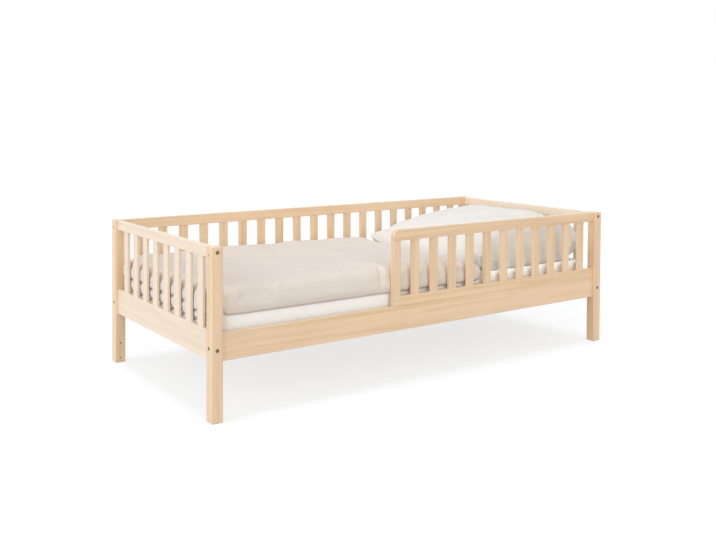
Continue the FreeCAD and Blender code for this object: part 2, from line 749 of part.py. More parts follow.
def make_base():
    """Slats that lie across the ledgers, kept in line by two webbing straps below them."""
    labels = []
    for number in range(count("base_slat_count")):
        label = f"base_slat_{number + 1:02d}"
        slat = bar(f"{label}_blank", "XZ_Plane", "base_slat_width", "base_slat_thickness",
                   BASE_SLAT_LENGTH, "base_slat_radius")
        x_text = f"({number} / (base_slat_count - 1) - 1 / 2) * {BASE_SPAN}"
        place(slat, (x_text, "0", f"{BASE_SLAT_BOTTOM} + base_slat_thickness / 2"))
        blanks[label] = slat
        labels.append(label)
    groups["base_slats"] = labels
    straps = []
    for side, sign_y in SIDES:
        strap = bar(f"{side}_strap", "YZ_Plane", "strap_width", "strap_thickness",
                    f"{BASE_SPAN} + base_slat_width")
        place(strap, ("0", f"{sign_y} * ({BASE_SLAT_LENGTH} / 2 - strap_inset)",
                      f"{BASE_SLAT_BOTTOM} - strap_thickness / 2"))
        straps.append(strap)
    groups["base_straps"] = straps


make_base()


# Mattress and fitted sheet

SHEET_BOTTOM = f"({BASE_TOP} + rest_gap)"
MATTRESS_LENGTH = "(bed_length - 2 * (post_side + mattress_end_gap))"
MATTRESS_WIDTH = "(bed_width - 2 * (side_recess + rail_thickness + mattress_side_gap))"


def make_block(label, length, width, height, corner_radius, edge_radius, bottom):
    """A soft block with round corners in plan, and a smaller round along its edges."""
    body = new_body(label)
    plan = new_sketch(body, "Plan", "XY_Plane")
    draw_rectangle(plan, length, width)
    add_pad(body, "Thickness", plan, height, symmetric=False)
    round_edges(body, lambda edge: runs_along(edge, Z_AXIS), corner_radius)
    round_edges(body, lambda edge: edge.BoundBox.ZLength < SMALL_SHARE, edge_radius)
    place(body, ("0", "0", bottom))
    return body


def make_mattress():
    """The mattress, and the sheet that wraps it and turns in under its edge."""
    mattress = make_block("mattress", MATTRESS_LENGTH, MATTRESS_WIDTH, "mattress_thickness",
                          "mattress_corner_radius", "mattress_edge_radius",
                          f"{SHEET_BOTTOM} + sheet_thickness")
    nodes["mattress"] = mattress
    outside = make_block("sheet_outside", f"{MATTRESS_LENGTH} + 2 * sheet_thickness",
                         f"{MATTRESS_WIDTH} + 2 * sheet_thickness",
                         "mattress_thickness + 2 * sheet_thickness",
                         "mattress_corner_radius + sheet_thickness",
                         "mattress_edge_radius + sheet_thickness", SHEET_BOTTOM)
    opening = bar("sheet_opening", "XY_Plane", f"{MATTRESS_LENGTH} - 2 * sheet_underlap",
                  f"{MATTRESS_WIDTH} - 2 * sheet_underlap", "2 * mattress_edge_radius")
    place(opening, ("0", "0", SHEET_BOTTOM))
    fitted = doc.addObject("Part::Cut", "fitted_sheet")
    fitted.Label = "fitted_sheet"
    fitted.Base = outside
    fitted.Tool = fuse("sheet_inside", [mattress, opening])
    nodes["fitted_sheet"] = fitted


make_mattress()


# Duvet and pillow, shaped through curved sections

def arc(start, middle, end):
    """An arc through three points."""
    return Part.Arc(start, middle, end).toShape()


def soft_feature(label, shape):
    """A soft form as an object of the document."""
    feature = doc.addObject("Part::Feature", label)
    feature.Label = label
    feature.Shape = shape
    return feature


def mattress_half_size():
    """Half the mattress's length and half its width."""
    length = read("bed_length") / 2 - read("post_side") - read("mattress_end_gap")
    width = (read("bed_width") / 2 - read("side_recess") - read("rail_thickness")
             - read("mattress_side_gap"))
    return length, width


def panel_face():
    """How far along the bed the end panels' inner faces are from its middle."""
    return read("bed_length") / 2 - read("end_recess") - read("rail_thickness")


def pillow_ends():
    """Where the pillow starts and ends along the bed."""
    head = panel_face() - read("pillow_head_gap")
    return head - read("pillow_length"), head


def sheet_top():
    """The height of the made-up mattress."""
    stack = ("side_rail_bottom", "ledger_height", "base_slat_thickness", "rest_gap",
             "mattress_thickness")
    return sum(read(name) for name in stack) + 2 * read("sheet_thickness")


def duvet_section(x, fullness, dip):
    """The duvet cut across: crowned on top, rolled at both sides, hanging at the front."""
    gap = read("rest_gap")
    half = mattress_half_size()[1] + read("sheet_thickness")
    round_in = read("mattress_edge_radius") + read("sheet_thickness")
    under = sheet_top() + gap
    inner = half + gap
    outer = inner + read("duvet_flap")
    loft = read("duvet_loft") * fullness
    roll = read("duvet_roll") * fullness
    top = under + loft
    hem = sheet_top() - read("duvet_drop")
    hem_round = (outer - inner) / 2
    corner = (1 - DIAGONAL_SHARE) * roll
    bend_y = half - round_in
    bend = round_in + gap
    bend_z = under - bend
    front_rise = top - loft * dip * DUVET_FRONT_SHARE
    rear_rise = top - loft * dip * DUVET_REAR_SHARE

    def point(y, z):
        return FreeCAD.Vector(x, y, z)

    front_low = point(-outer, hem)
    front_high = point(-outer, top - roll)
    front_top = point(-outer + roll, top)
    middle_top = point(0, top - loft * dip)
    rear_top = point(outer - roll, top)
    rear_high = point(outer, top - roll)
    rear_low = point(outer, under + hem_round)
    rear_under = point(outer - hem_round, under)
    bend_top = point(-bend_y, under)
    bend_low = point(-inner, bend_z)
    inner_low = point(-inner, hem)
    hem_corner = hem_round * (1 - DIAGONAL_SHARE)
    edges = [
        Part.LineSegment(front_low, front_high).toShape(),
        arc(front_high, point(-outer + corner, top - corner), front_top),
        arc(front_top, point(-outer / 2, front_rise), middle_top),
        arc(middle_top, point(outer / 2, rear_rise), rear_top),
        arc(rear_top, point(outer - corner, top - corner), rear_high),
        Part.LineSegment(rear_high, rear_low).toShape(),
        arc(rear_low, point(outer - hem_corner, under + hem_corner), rear_under),
        Part.LineSegment(rear_under, bend_top).toShape(),
        arc(bend_top, point(-bend_y - bend * DIAGONAL_SHARE, bend_z + bend * DIAGONAL_SHARE),
            bend_low),
        Part.LineSegment(bend_low, inner_low).toShape(),
        arc(inner_low, point(-(inner + outer) / 2, hem - hem_round), front_low),
    ]
    return Part.Wire(edges)


def make_duvet():
    """The duvet, from the foot panel to the pillow, with a flap tucked down at the foot."""
    gap = read("rest_gap")
    half_length, half_width = mattress_half_size()
    start = -(read("bed_length") / 2 - read("post_side") - read("duvet_foot_gap"))
    length = pillow_ends()[0] - read("duvet_pillow_gap") - start
    sections = [duvet_section(start + place_share * length, full_share, dip_share)
                for place_share, full_share, dip_share in DUVET_SHARES]
    blanket = Part.makeLoft(sections, True, True)
    flap_start = read("duvet_foot_gap") - panel_face()
    flap_end = -(half_length + read("sheet_thickness") + gap)
    flap_half = half_width - read("duvet_flap")
    flap_low = sheet_top() - read("duvet_foot_drop")
    flap_high = sheet_top() + read("duvet_loft") * DUVET_SHARES[0][1] - read("duvet_flap") / 2
    corner = FreeCAD.Vector(flap_start, -flap_half, flap_low)
    flap = Part.makeBox(flap_end - flap_start, 2 * flap_half, flap_high - flap_low, corner)
    outer_edges = [edge for edge in flap.Edges if edge.CenterOfMass.x < flap_start + gap]
    flap = flap.makeFillet((flap_end - flap_start) * FLAP_ROUND_SHARE, outer_edges)
    nodes["duvet"] = soft_feature("duvet", blanket.fuse(flap).removeSplitter())


def middle_of_rise(rest, tip):
    """The middle of the arc that leaves a flat stretch at its end and rises to a tip."""
    run = tip.x - rest.x
    rise = tip.z - rest.z
    radius = (run ** 2 + rise ** 2) / (2 * rise)
    half_turn = math.atan2(abs(run), radius - rise) / 2
    across = math.copysign(radius * math.sin(half_turn), run)
    return rest + FreeCAD.Vector(across, 0, radius * (1 - math.cos(half_turn)))


def pillow_section(share, fullness):
    """The pillow cut from foot side to head side: flat below, crowned above, a rim each end."""
    rim = read("pillow_seam") / 2
    base = sheet_top() + read("rest_gap")
    drawn_in = read("pillow_pinch") * (1 - (2 * share - 1) ** 2)
    foot_end, head_end = pillow_ends()
    foot_x = foot_end + drawn_in
    head_x = head_end - drawn_in
    foot_seam = base + read("pillow_seam_rise")
    head_seam = foot_seam + read("pillow_lean")
    y = (2 * share - 1) * (mattress_half_size()[1] - read("pillow_side_inset"))

    def above(along_share, rise_share):
        """A place on the upper side, as shares along the seam line and up to the crown."""
        seam = foot_seam + along_share * (head_seam - foot_seam)
        rise = rise_share * fullness * (base + read("pillow_loft") - seam)
        return FreeCAD.Vector(foot_x + along_share * (head_x - foot_x), y, seam + rise)

    def below(along_share):
        """A place on the flat of the underside."""
        sink = min(1, fullness * PILLOW_UNDER_SHARE) * (foot_seam - base)
        return FreeCAD.Vector(foot_x + along_share * (head_x - foot_x), y, foot_seam - sink)

    foot_low = FreeCAD.Vector(foot_x + rim, y, foot_seam - rim * fullness)
    foot_tip = FreeCAD.Vector(foot_x, y, foot_seam)
    foot_high = FreeCAD.Vector(foot_x + rim, y, foot_seam + rim * fullness)
    head_low = FreeCAD.Vector(head_x - rim, y, head_seam - rim * fullness)
    head_tip = FreeCAD.Vector(head_x, y, head_seam)
    head_high = FreeCAD.Vector(head_x - rim, y, head_seam + rim * fullness)
    crown = above(*PILLOW_CROWN_SHARES)
    rest_foot, rest_head = (below(rest_share) for rest_share in PILLOW_REST_SHARES)
    edges = [
        arc(foot_low, foot_tip, foot_high),
        arc(foot_high, above(*PILLOW_FOOT_BULGE_SHARES), crown),
        arc(crown, above(*PILLOW_HEAD_BULGE_SHARES), head_high),
        arc(head_high, head_tip, head_low),
        arc(head_low, middle_of_rise(rest_head, head_low), rest_head),
        Part.LineSegment(rest_head, rest_foot).toShape(),
        arc(rest_foot, middle_of_rise(rest_foot, foot_low), foot_low),
    ]
    return Part.Wire(edges)


def make_pillow():
    """One large pillow, crowned, drawn in between its corners and leant on the head panel."""
    sections = [pillow_section(*pair) for pair in PILLOW_SHARES]
    nodes["pillow"] = soft_feature("pillow", Part.makeLoft(sections, True, True))


make_duvet()
make_pillow()
doc.recompute()


# Drilling, grouping and writing out

def drilled(label):
    """A piece with its holes: the blank less everything that is drilled into it."""
    blank = blanks[label]
    tools = cutters[label]
    if not tools:
        blank.Label = label
        return blank
    cut = doc.addObject("Part::Cut", label)
    cut.Label = label
    cut.Base = blank
    cut.Tool = fuse(f"{label}_holes", tools) if len(tools) > 1 else tools[0]
    return cut


def grouped(label, members):
    """Separate solids that share one node."""
    compound = doc.addObject("Part::Compound", label)
    compound.Label = label
    compound.Links = members
    return compound


pieces = {label: drilled(label) for label in blanks}
doc.recompute()
for label, members in groups.items():
    members = [pieces.pop(member) if isinstance(member, str) else member for member in members]
    pieces[label] = grouped(label, members)
for label, copies in fasteners.items():
    pieces[label] = grouped(label, copies)
nodes.update(pieces)
doc.recompute()

for thing in doc.Objects:
    if "Invalid" in thing.State or "Error" in thing.State:
        raise RuntimeError(f"{thing.Label} did not recompute: {thing.State}")
os.makedirs("parts", exist_ok=True)
for label, node in sorted(nodes.items()):
    shape = node.Shape
    if shape.isNull() or not shape.isValid():
        raise RuntimeError(f"{label} has no valid shape")
    shape.exportStep(f"parts/{label}.step")
    print(f"{label}: {len(shape.Solids)} solids, {shape.Volume / 1000:.0f} cm3")
print(len(nodes), "nodes")
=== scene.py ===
"""A children's bed in pale beech with its bedding, dressed for a plain studio picture."""

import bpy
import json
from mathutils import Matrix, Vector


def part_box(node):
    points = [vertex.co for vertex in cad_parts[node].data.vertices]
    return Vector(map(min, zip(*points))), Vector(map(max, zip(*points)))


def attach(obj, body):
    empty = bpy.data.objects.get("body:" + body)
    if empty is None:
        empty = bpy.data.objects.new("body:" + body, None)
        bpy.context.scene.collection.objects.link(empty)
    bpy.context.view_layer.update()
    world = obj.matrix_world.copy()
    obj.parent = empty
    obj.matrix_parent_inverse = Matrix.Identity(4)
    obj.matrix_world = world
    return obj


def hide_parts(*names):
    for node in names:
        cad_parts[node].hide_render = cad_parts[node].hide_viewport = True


bl_info = {
    "name": "Children's bed",
    "version": (1, 0, 0),
    "blender": (4, 5, 0),
    "location": "View3D > Sidebar > Bed",
    "description": "Finishes a slatted bed and makes its mattress, sheet, duvet and pillow",
    "category": "Object",
}

import json
import math

import bpy
import numpy as np
from mathutils import Matrix, Vector

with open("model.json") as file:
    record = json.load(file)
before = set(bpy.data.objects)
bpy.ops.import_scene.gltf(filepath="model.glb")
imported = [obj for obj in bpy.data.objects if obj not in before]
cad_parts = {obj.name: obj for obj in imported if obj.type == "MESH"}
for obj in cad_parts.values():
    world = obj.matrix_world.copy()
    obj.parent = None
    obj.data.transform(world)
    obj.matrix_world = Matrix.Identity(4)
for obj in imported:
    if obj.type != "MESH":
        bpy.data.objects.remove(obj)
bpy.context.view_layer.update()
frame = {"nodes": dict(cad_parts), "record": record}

# The picture's width in pixels, and the camera's sensor in millimetres.
PHOTO_WIDTH = 716
SENSOR = 36.0

# Places that the bedding fits, read from the frame's own pieces, in metres.
MATTRESS_LOW, MATTRESS_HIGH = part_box("mattress")
SHEET_LOW, SHEET_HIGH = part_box("fitted_sheet")
DUVET_LOW, DUVET_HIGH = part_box("duvet")
PILLOW_LOW, PILLOW_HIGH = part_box("pillow")
FOOT_SLAT_LOW, FOOT_SLAT_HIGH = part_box("foot_slat_01")
FOOT_SLAT_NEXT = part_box("foot_slat_02")[0]
STILE_X = float(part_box("guard_stile")[0][0])
REST_GAP = 0.0003
UNDER_Z = float(SHEET_HIGH[2]) + REST_GAP
FOOT_X = float(SHEET_LOW[0]) - REST_GAP

# How far the bedding may reach before it meets the side rails and the head and foot panels.
SIDE_REACH = 0.4580
HEAD_REACH = 1.0105
FOOT_REACH = -1.0152

# Size of the lattice that noise is drawn on, and where on it every pattern starts.
LATTICE = 64
LATTICE_START = (17.3, 11.9)


# Surfaces worked out on grids

def through(places, values, at):
    """Smooth values between given ones: a cubic through each pair, with its neighbours' slope.

    places is a rising row of numbers, values has one row for each place, and at says where
    to read it.
    """
    places = np.asarray(places, float)
    values = np.asarray(values, float)
    at = np.asarray(at, float)
    slope = np.gradient(values, places, axis=0)
    span = np.clip(np.searchsorted(places, at, side="right") - 1, 0, len(places) - 2)
    width = places[span + 1] - places[span]
    share = np.clip((at - places[span]) / width, 0, 1)
    wide = (slice(None),) * at.ndim + (None,) * (values.ndim - 1)
    share = share[wide]
    width = width[wide]
    start, end = values[span], values[span + 1]
    start_slope, end_slope = slope[span] * width, slope[span + 1] * width
    square, cube = share ** 2, share ** 3
    return (start * (2 * cube - 3 * square + 1) + start_slope * (cube - 2 * square + share)
            + end * (3 * square - 2 * cube) + end_slope * (cube - square))


def profile(table, at):
    """A smooth curve through the pairs of a table, read at these places."""
    return through(*np.transpose(table), at)


def running_length(points):
    """How far along a line of points each one lies."""
    steps = np.linalg.norm(np.diff(points, axis=0), axis=1)
    return np.concatenate([[0], np.cumsum(steps)])


def at_shares(points, shares):
    """Points along a line of points, at these shares of its running length."""
    length = running_length(points)
    at = np.asarray(shares) * length[-1]
    return np.stack([np.interp(at, length, column) for column in points.T], 1)


def evenly(points, count):
    """Points at equal steps along a line of points, by its running length."""
    return at_shares(points, np.linspace(0, 1, count))


def smoothstep(low, high, value):
    """0 below low and 1 above high, with a smooth rise between."""
    share = np.clip((value - low) / (high - low), 0, 1)
    return share * share * (3 - 2 * share)


def soft_noise(u, v, cell, seed):
    """Smooth hills and hollows from -1 to 1, about one cell wide: random heights on a lattice,
    eased from one to the next by 6t^5 - 15t^4 + 10t^3."""
    heights = np.random.default_rng(seed).uniform(-1, 1, (LATTICE, LATTICE))
    a = np.asarray(u) / cell + LATTICE_START[0]
    b = np.asarray(v) / cell + LATTICE_START[1]
    i, j = np.floor(a).astype(int), np.floor(b).astype(int)
    s, t = a - i, b - j
    s, t = s * s * s * (s * (6 * s - 15) + 10), t * t * t * (t * (6 * t - 15) + 10)
    i0, i1, j0, j1 = i % LATTICE, (i + 1) % LATTICE, j % LATTICE, (j + 1) % LATTICE
    low = heights[i0, j0] * (1 - s) + heights[i1, j0] * s
    high = heights[i0, j1] * (1 - s) + heights[i1, j1] * s
    return low * (1 - t) + high * t


def wrinkles(u, v, cell, stretch, turn, seed):
    """Ridges that run one way: noise drawn out along a turned direction, folded at its zero
    so that its hollows turn into creases."""
    c, s = math.cos(turn), math.sin(turn)
    a, b = u * c + v * s, -u * s + v * c
    b = b + 0.35 * cell * soft_noise(u, v, 2.6 * cell, seed + 7)
    return 1 - 2 * np.abs(soft_noise(a / stretch, b, cell, seed)) ** 0.8


def surface_normals(points):
    """The unit normal at each point of a stack of rings, from its steps along and round them."""
    along = np.gradient(points, axis=0)
    across = (np.roll(points, -1, axis=1) - np.roll(points, 1, axis=1)) / 2
    normal = np.cross(along, across)
    return normal / np.maximum(np.linalg.norm(normal, axis=2, keepdims=True), 1e-12)


def soft_floor(value, limit, ease):
    """The larger of value and limit, with a smooth turn of about this size between them."""
    return limit + ease * np.logaddexp(0, (value - limit) / ease)


# Meshes

def new_object(name, points, faces, uv=None):
    """A mesh object from points and faces, at the origin, shaded smooth."""
    mesh = bpy.data.meshes.new(name)
    mesh.from_pydata(np.asarray(points, float).reshape(-1, 3).tolist(), [], faces)
    if uv is not None:
        layer = mesh.uv_layers.new(name="UVMap")
        corner = np.zeros(len(mesh.loops), np.int32)
        mesh.loops.foreach_get("vertex_index", corner)
        layer.data.foreach_set("uv", np.asarray(uv, np.float32).reshape(-1, 2)[corner].ravel())
    mesh.polygons.foreach_set("use_smooth", np.ones(len(mesh.polygons), bool))
    mesh.update()
    piece = bpy.data.objects.new(name, mesh)
    bpy.context.scene.collection.objects.link(piece)
    return piece


def grid_faces(rows, columns, closed=False):
    """Quads of a grid of points. The rows of a closed grid are rings, and it faces outwards."""
    steps = columns if closed else columns - 1
    row, column = np.meshgrid(np.arange(rows - 1), np.arange(steps), indexing="ij")
    beside = (column + 1) % columns
    quads = np.stack([row * columns + column, row * columns + beside,
                      (row + 1) * columns + beside, (row + 1) * columns + column], -1)
    return quads.reshape(-1, 4).tolist()


def pole_faces(pole, first, columns, turned):
    """Triangles from one point to each step of the ring that starts at this index."""
    ring = np.arange(columns)
    beside = (ring + 1) % columns
    step = (ring, beside) if turned else (beside, ring)
    return np.stack([np.full(columns, pole), first + step[0], first + step[1]], 1).tolist()


def ring_mesh(points, poles):
    """Points and faces from rings, of which the first is drawn together to one point, and with
    two poles the last as well."""
    columns = points.shape[1]
    body = points[1:-1] if poles == 2 else points[1:]
    rows = len(body)
    pole = rows * columns
    ends = [points[0].mean(0)]
    faces = grid_faces(rows, columns, closed=True) + pole_faces(pole, 0, columns, False)
    if poles == 2:
        ends.append(points[-1].mean(0))
        faces += pole_faces(pole + 1, pole - columns, columns, True)
    return np.concatenate([body.reshape(-1, 3), np.array(ends)]), faces


def zip_loop(first, columns, turned):
    """Faces that close a flattened loop, from one tip to the other."""
    half = columns // 2
    left = first + np.arange(half)
    right = first + (columns - np.arange(half)) % columns
    right_next = first + columns - np.arange(1, half + 1)
    middle = np.stack([left[1:-1], left[2:], right_next[1:-1], right[1:-1]], 1).tolist()
    tips = [[first, first + 1, first + columns - 1],
            [first + half - 1, first + half, first + half + 1]]
    faces = middle + tips
    return [face[::-1] for face in faces] if turned else faces


def set_material(piece, material):
    """Give a piece one material."""
    piece.data.materials.clear()
    piece.data.materials.append(material)


def finish_piece(piece, material, body, node):
    """Give a piece its material, and let it ride on its body and stand for its node."""
    set_material(piece, material)
    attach(piece, body)
    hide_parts(node)


def point_array(mesh):
    """A mesh's points as rows of x, y and z."""
    places = np.empty(len(mesh.vertices) * 3)
    mesh.vertices.foreach_get("co", places)
    return places.reshape(-1, 3)


def put_points(mesh, points):
    """Give a mesh's points new places."""
    mesh.vertices.foreach_set("co", np.asarray(points, float).ravel())
    mesh.update()


SETTLE_FRAMES = 20


def settle(piece, held, pressure, spare, cap):
    """Fill a closed cloth form with air: Blender's cloth, with a little more cloth than the form
    needs, runs for a few frames.

    held says for each point how far it is kept where it is, from 0 to 1. Each point then moves
    by its own way in the run, eased so that it never passes the cap: cap * tanh(way / cap).
    """
    start = point_array(piece.data)
    group = piece.vertex_groups.new(name="Held")
    group.add(np.flatnonzero(held > 0.5).tolist(), 1.0, "REPLACE")
    filling = piece.modifiers.new("Filling", "CLOTH")
    cloth = filling.settings
    cloth.quality = 4
    cloth.mass = 0.2
    cloth.tension_stiffness = 12
    cloth.compression_stiffness = 12
    cloth.shear_stiffness = 6
    cloth.bending_stiffness = 0.4
    cloth.use_pressure = True
    cloth.uniform_pressure_force = pressure
    cloth.shrink_min = -spare
    cloth.vertex_group_mass = group.name
    cloth.effector_weights.gravity = 0
    filling.point_cache.frame_start = 1
    filling.point_cache.frame_end = SETTLE_FRAMES
    scene = bpy.context.scene
    for number in range(1, SETTLE_FRAMES + 1):
        scene.frame_set(number)
    way = point_array(piece.evaluated_get(bpy.context.evaluated_depsgraph_get()).data) - start
    piece.modifiers.remove(filling)
    piece.vertex_groups.clear()
    scene.frame_set(1)
    length = np.linalg.norm(way, axis=1, keepdims=True)
    eased = cap * np.tanh(length / cap) / np.maximum(length, 1e-9)
    put_points(piece.data, start + way * eased * (1 - held[:, None]))


# Shader nodes

class Shade:
    """Adds nodes to a material or a group and wires them."""

    def __init__(self, tree):
        self.tree = tree

    def wire(self, node, inputs):
        """Link or set a node's inputs, by name or by number."""
        for key, value in inputs.items():
            socket = node.inputs[key]
            if isinstance(value, bpy.types.NodeSocket):
                self.tree.links.new(value, socket)
            else:
                socket.default_value = value

    def add(self, kind, inputs=None, **settings):
        """A new shader node of this kind."""
        node = self.tree.nodes.new("ShaderNode" + kind)
        for key, value in settings.items():
            setattr(node, key, value)
        self.wire(node, inputs or {})
        return node

    def math(self, operation, *values):
        return self.add("Math", operation=operation,
                        inputs=dict(enumerate(values))).outputs[0]

    def vector_math(self, operation, *values):
        return self.add("VectorMath", operation=operation,
                        inputs=dict(enumerate(values))).outputs[0]

    def vector(self, x=0.0, y=0.0, z=0.0):
        return self.add("CombineXYZ", inputs={0: x, 1: y, 2: z}).outputs[0]

    def weighted(self, *pairs):
        """The sum of each value times its weight."""
        total = 0.0
        for value, weight in pairs:
            total = self.math("ADD", total, self.math("MULTIPLY", value, weight))
        return total

    def centred(self, value):
        """A value from 0 to 1 as one from -0.5 to 0.5."""
        return self.math("SUBTRACT", value, 0.5)

    def mix(self, share, low, high):
        """Colour low where share is 0 or less, high where it is 1 or more."""
        return self.add("Mix", data_type="RGBA", clamp_factor=True,
                        inputs={0: share, 6: low, 7: high}).outputs[2]

    def spread(self, value, low, high):
        """0 where value is low or less, 1 where it is high or more."""
        return self.add("MapRange", clamp=True,
                        inputs={0: value, 1: low, 2: high}).outputs[0]

    def noise(self, vector, sizes, detail, roughness=0.5):
        """Cloudy noise from 0 to 1, sizes being its cells to the metre along each axis."""
        return self.add("TexNoise", inputs={
            "Vector": self.vector_math("MULTIPLY", vector, sizes), "Scale": 1.0,
            "Detail": detail, "Roughness": roughness}).outputs[0]

    def bump(self, height, strength, distance, **below):
        """A normal from a height, on top of another normal if one is given."""
        inputs = {"Strength": strength, "Distance": distance, "Height": height, **below}
        return self.add("Bump", inputs=inputs).outputs[0]


def new_group(name, inputs, outputs):
    """A shader node group with named sockets, and its shade, input and output nodes."""
    tree = bpy.data.node_groups.new(name, "ShaderNodeTree")
    for title, kind, default in inputs:
        socket = tree.interface.new_socket(
            name=title, in_out="INPUT", socket_type="NodeSocket" + kind)
        if default is not None:
            socket.default_value = default
    for title, kind in outputs:
        tree.interface.new_socket(name=title, in_out="OUTPUT", socket_type="NodeSocket" + kind)
    return Shade(tree), tree.nodes.new("NodeGroupInput"), tree.nodes.new("NodeGroupOutput")


def new_material(name):
    """A material with a Principled shader, its shade and that shader."""
    material = bpy.data.materials.new(name)
    material.use_nodes = True
    shade = Shade(material.node_tree)
    shader = material.node_tree.nodes["Principled BSDF"]
    return material, shade, shader


def shaded(colour, share):
    """A colour made darker, to this share of itself."""
    return tuple(share * part for part in colour[:3]) + (1,)


# Depth in metres of the strips that a board is glued from, and the seed of their tones.
STRIP_DEPTH = 0.06
STRIP_SEED = 3.7


def wood_group():
    """Planed beech: glued strips of different tone, drawn-out growth rings, fibres and flecks.

    The grain runs along the vector's X. Y is across the board's face, Z through it.
    """
    name = "Planed wood"
    if name in bpy.data.node_groups:
        return bpy.data.node_groups[name]
    shade, start, end = new_group(
        name,
        [("Vector", "Vector", None), ("Light", "Color", (0.8, 0.6, 0.4, 1)),
         ("Dark", "Color", (0.6, 0.4, 0.2, 1)), ("Strip Width", "Float", 0.05),
         ("Strip Contrast", "Float", 0.3), ("Ring Contrast", "Float", 0.5),
         ("Fleck Strength", "Float", 0.4)],
        [("Color", "Color"), ("Roughness", "Float"), ("Height", "Float")])
    vector, dark = start.outputs["Vector"], start.outputs["Dark"]
    parts = shade.add("SeparateXYZ", inputs={0: vector}).outputs
    # Each glued strip has its own tone, and its own place in the tree.
    row = shade.math("FLOOR", shade.math("DIVIDE", parts[1], start.outputs["Strip Width"]))
    layer = shade.math("FLOOR", shade.math("DIVIDE", parts[2], STRIP_DEPTH))
    dice = shade.add("TexWhiteNoise", noise_dimensions="3D",
                     inputs={"Vector": shade.vector(row, layer, STRIP_SEED)}).outputs
    shift = shade.vector_math("MULTIPLY", dice["Color"], (3.0, 0.4, 0.4))
    moved = shade.vector_math("ADD", vector, shift)
    # The rings and streaks bend slowly along the board.
    bend = shade.noise(moved, (1.3, 5.0, 5.0), 2.0)
    warped = shade.vector_math("ADD", moved, shade.vector(
        y=shade.math("MULTIPLY", bend, 0.05), z=shade.math("MULTIPLY", bend, 0.03)))
    rings = shade.noise(warped, (0.9, 85.0, 60.0), 2.5, 0.62)
    streaks = shade.noise(warped, (2.4, 320.0, 260.0), 2.0)
    clouds = shade.noise(moved, (2.2, 14.0, 14.0), 2.0)
    flecks = shade.noise(moved, (210.0, 1500.0, 1500.0), 1.0)
    share = shade.weighted(
        (shade.spread(rings, 0.38, 0.66), start.outputs["Ring Contrast"]),
        (shade.centred(dice["Value"]), start.outputs["Strip Contrast"]),
        (shade.centred(clouds), 0.85), (shade.centred(streaks), 0.5))
    fleck_share = shade.math("MULTIPLY", shade.spread(flecks, 0.62, 0.74),
                             start.outputs["Fleck Strength"])
    colour = shade.mix(fleck_share, shade.mix(share, start.outputs["Light"], dark), dark)
    shade.wire(end, {
        "Color": colour, "Height": shade.weighted((streaks, 0.6), (flecks, -0.25)),
        "Roughness": shade.math("ADD", 0.47, shade.math("MULTIPLY", streaks, 0.16))})
    return shade.tree


def weave_group():
    """Plain-woven cotton: two sets of threads over and under each other, with slubs and fuzz."""
    name = "Woven cotton"
    if name in bpy.data.node_groups:
        return bpy.data.node_groups[name]
    shade, start, end = new_group(
        name,
        [("Vector", "Vector", None), ("Color", "Color", (0.8, 0.8, 0.8, 1)),
         ("Shade", "Color", (0.6, 0.6, 0.6, 1)), ("Thread", "Float", 0.0012),
         ("Slub", "Float", 0.35), ("Mottle", "Float", 0.3)],
        [("Color", "Color"), ("Height", "Float")])
    vector = start.outputs["Vector"]
    turns = shade.math("DIVIDE", math.pi, start.outputs["Thread"])
    parts = shade.add("SeparateXYZ", inputs={0: vector}).outputs
    warp = shade.math("SINE", shade.math("MULTIPLY", parts[0], turns))
    weft = shade.math("SINE", shade.math("MULTIPLY", parts[1], turns))
    slub = shade.math("ADD", shade.noise(vector, (26.0, 900.0, 1.0), 1.0),
                      shade.noise(vector, (900.0, 26.0, 1.0), 1.0))
    mottle = shade.noise(vector, (9.0, 9.0, 9.0), 4.0, 0.6)
    share = shade.math("ADD", 0.25, shade.weighted(
        (shade.math("SUBTRACT", slub, 1.0), start.outputs["Slub"]),
        (shade.centred(mottle), start.outputs["Mottle"])))
    shade.wire(end, {
        "Color": shade.mix(share, start.outputs["Color"], start.outputs["Shade"]),
        "Height": shade.weighted((shade.math("MULTIPLY", warp, weft), 0.4), (slub, 0.6))})
    return shade.tree


GRAIN_TURNS = {"x": (0.0, 0.0, 0.0), "y": (0.0, 0.0, -math.pi / 2), "z": (0.0, math.pi / 2, 0.0)}


def wood_material(name, grain, light, dark, strip_width, strip_contrast, ring_contrast=0.5):
    """Planed wood whose grain runs along one axis of the bed."""
    material, shade, shader = new_material(name)
    place = shade.add("TexCoord").outputs["Object"]
    turned = shade.add("Mapping", inputs={
        "Vector": place, "Rotation": GRAIN_TURNS[grain]}).outputs[0]
    wood = shade.add("Group", node_tree=wood_group(), inputs={
        "Vector": turned, "Light": light, "Dark": dark, "Strip Width": strip_width,
        "Strip Contrast": strip_contrast, "Ring Contrast": ring_contrast})
    shade.wire(shader, {
        "Base Color": wood.outputs["Color"], "Roughness": wood.outputs["Roughness"],
        "Normal": shade.bump(wood.outputs["Height"], 0.25, 0.0004), "Coat Weight": 0.7,
        "Coat Roughness": 0.22, "Coat IOR": 1.6})
    return material


def cloth_material(name, colour, shade_colour, thread, slub, mottle, sheen, depth=0.0005):
    """Woven cotton on a piece's own UV map, which is in metres of cloth."""
    material, shade, shader = new_material(name)
    place = shade.add("UVMap", uv_map="UVMap").outputs[0]
    weave = shade.add("Group", node_tree=weave_group(), inputs={
        "Vector": place, "Color": colour, "Shade": shade_colour, "Thread": thread,
        "Slub": slub, "Mottle": mottle})
    crumple = shade.bump(shade.noise(place, (30.0, 30.0, 1.0), 5.0, 0.6), 0.35, 0.006)
    shade.wire(shader, {
        "Base Color": weave.outputs["Color"], "Roughness": 0.9,
        "Normal": shade.bump(weave.outputs["Height"], 0.5, depth, Normal=crumple),
        "Sheen Weight": sheen, "Sheen Roughness": 0.5})
    return material


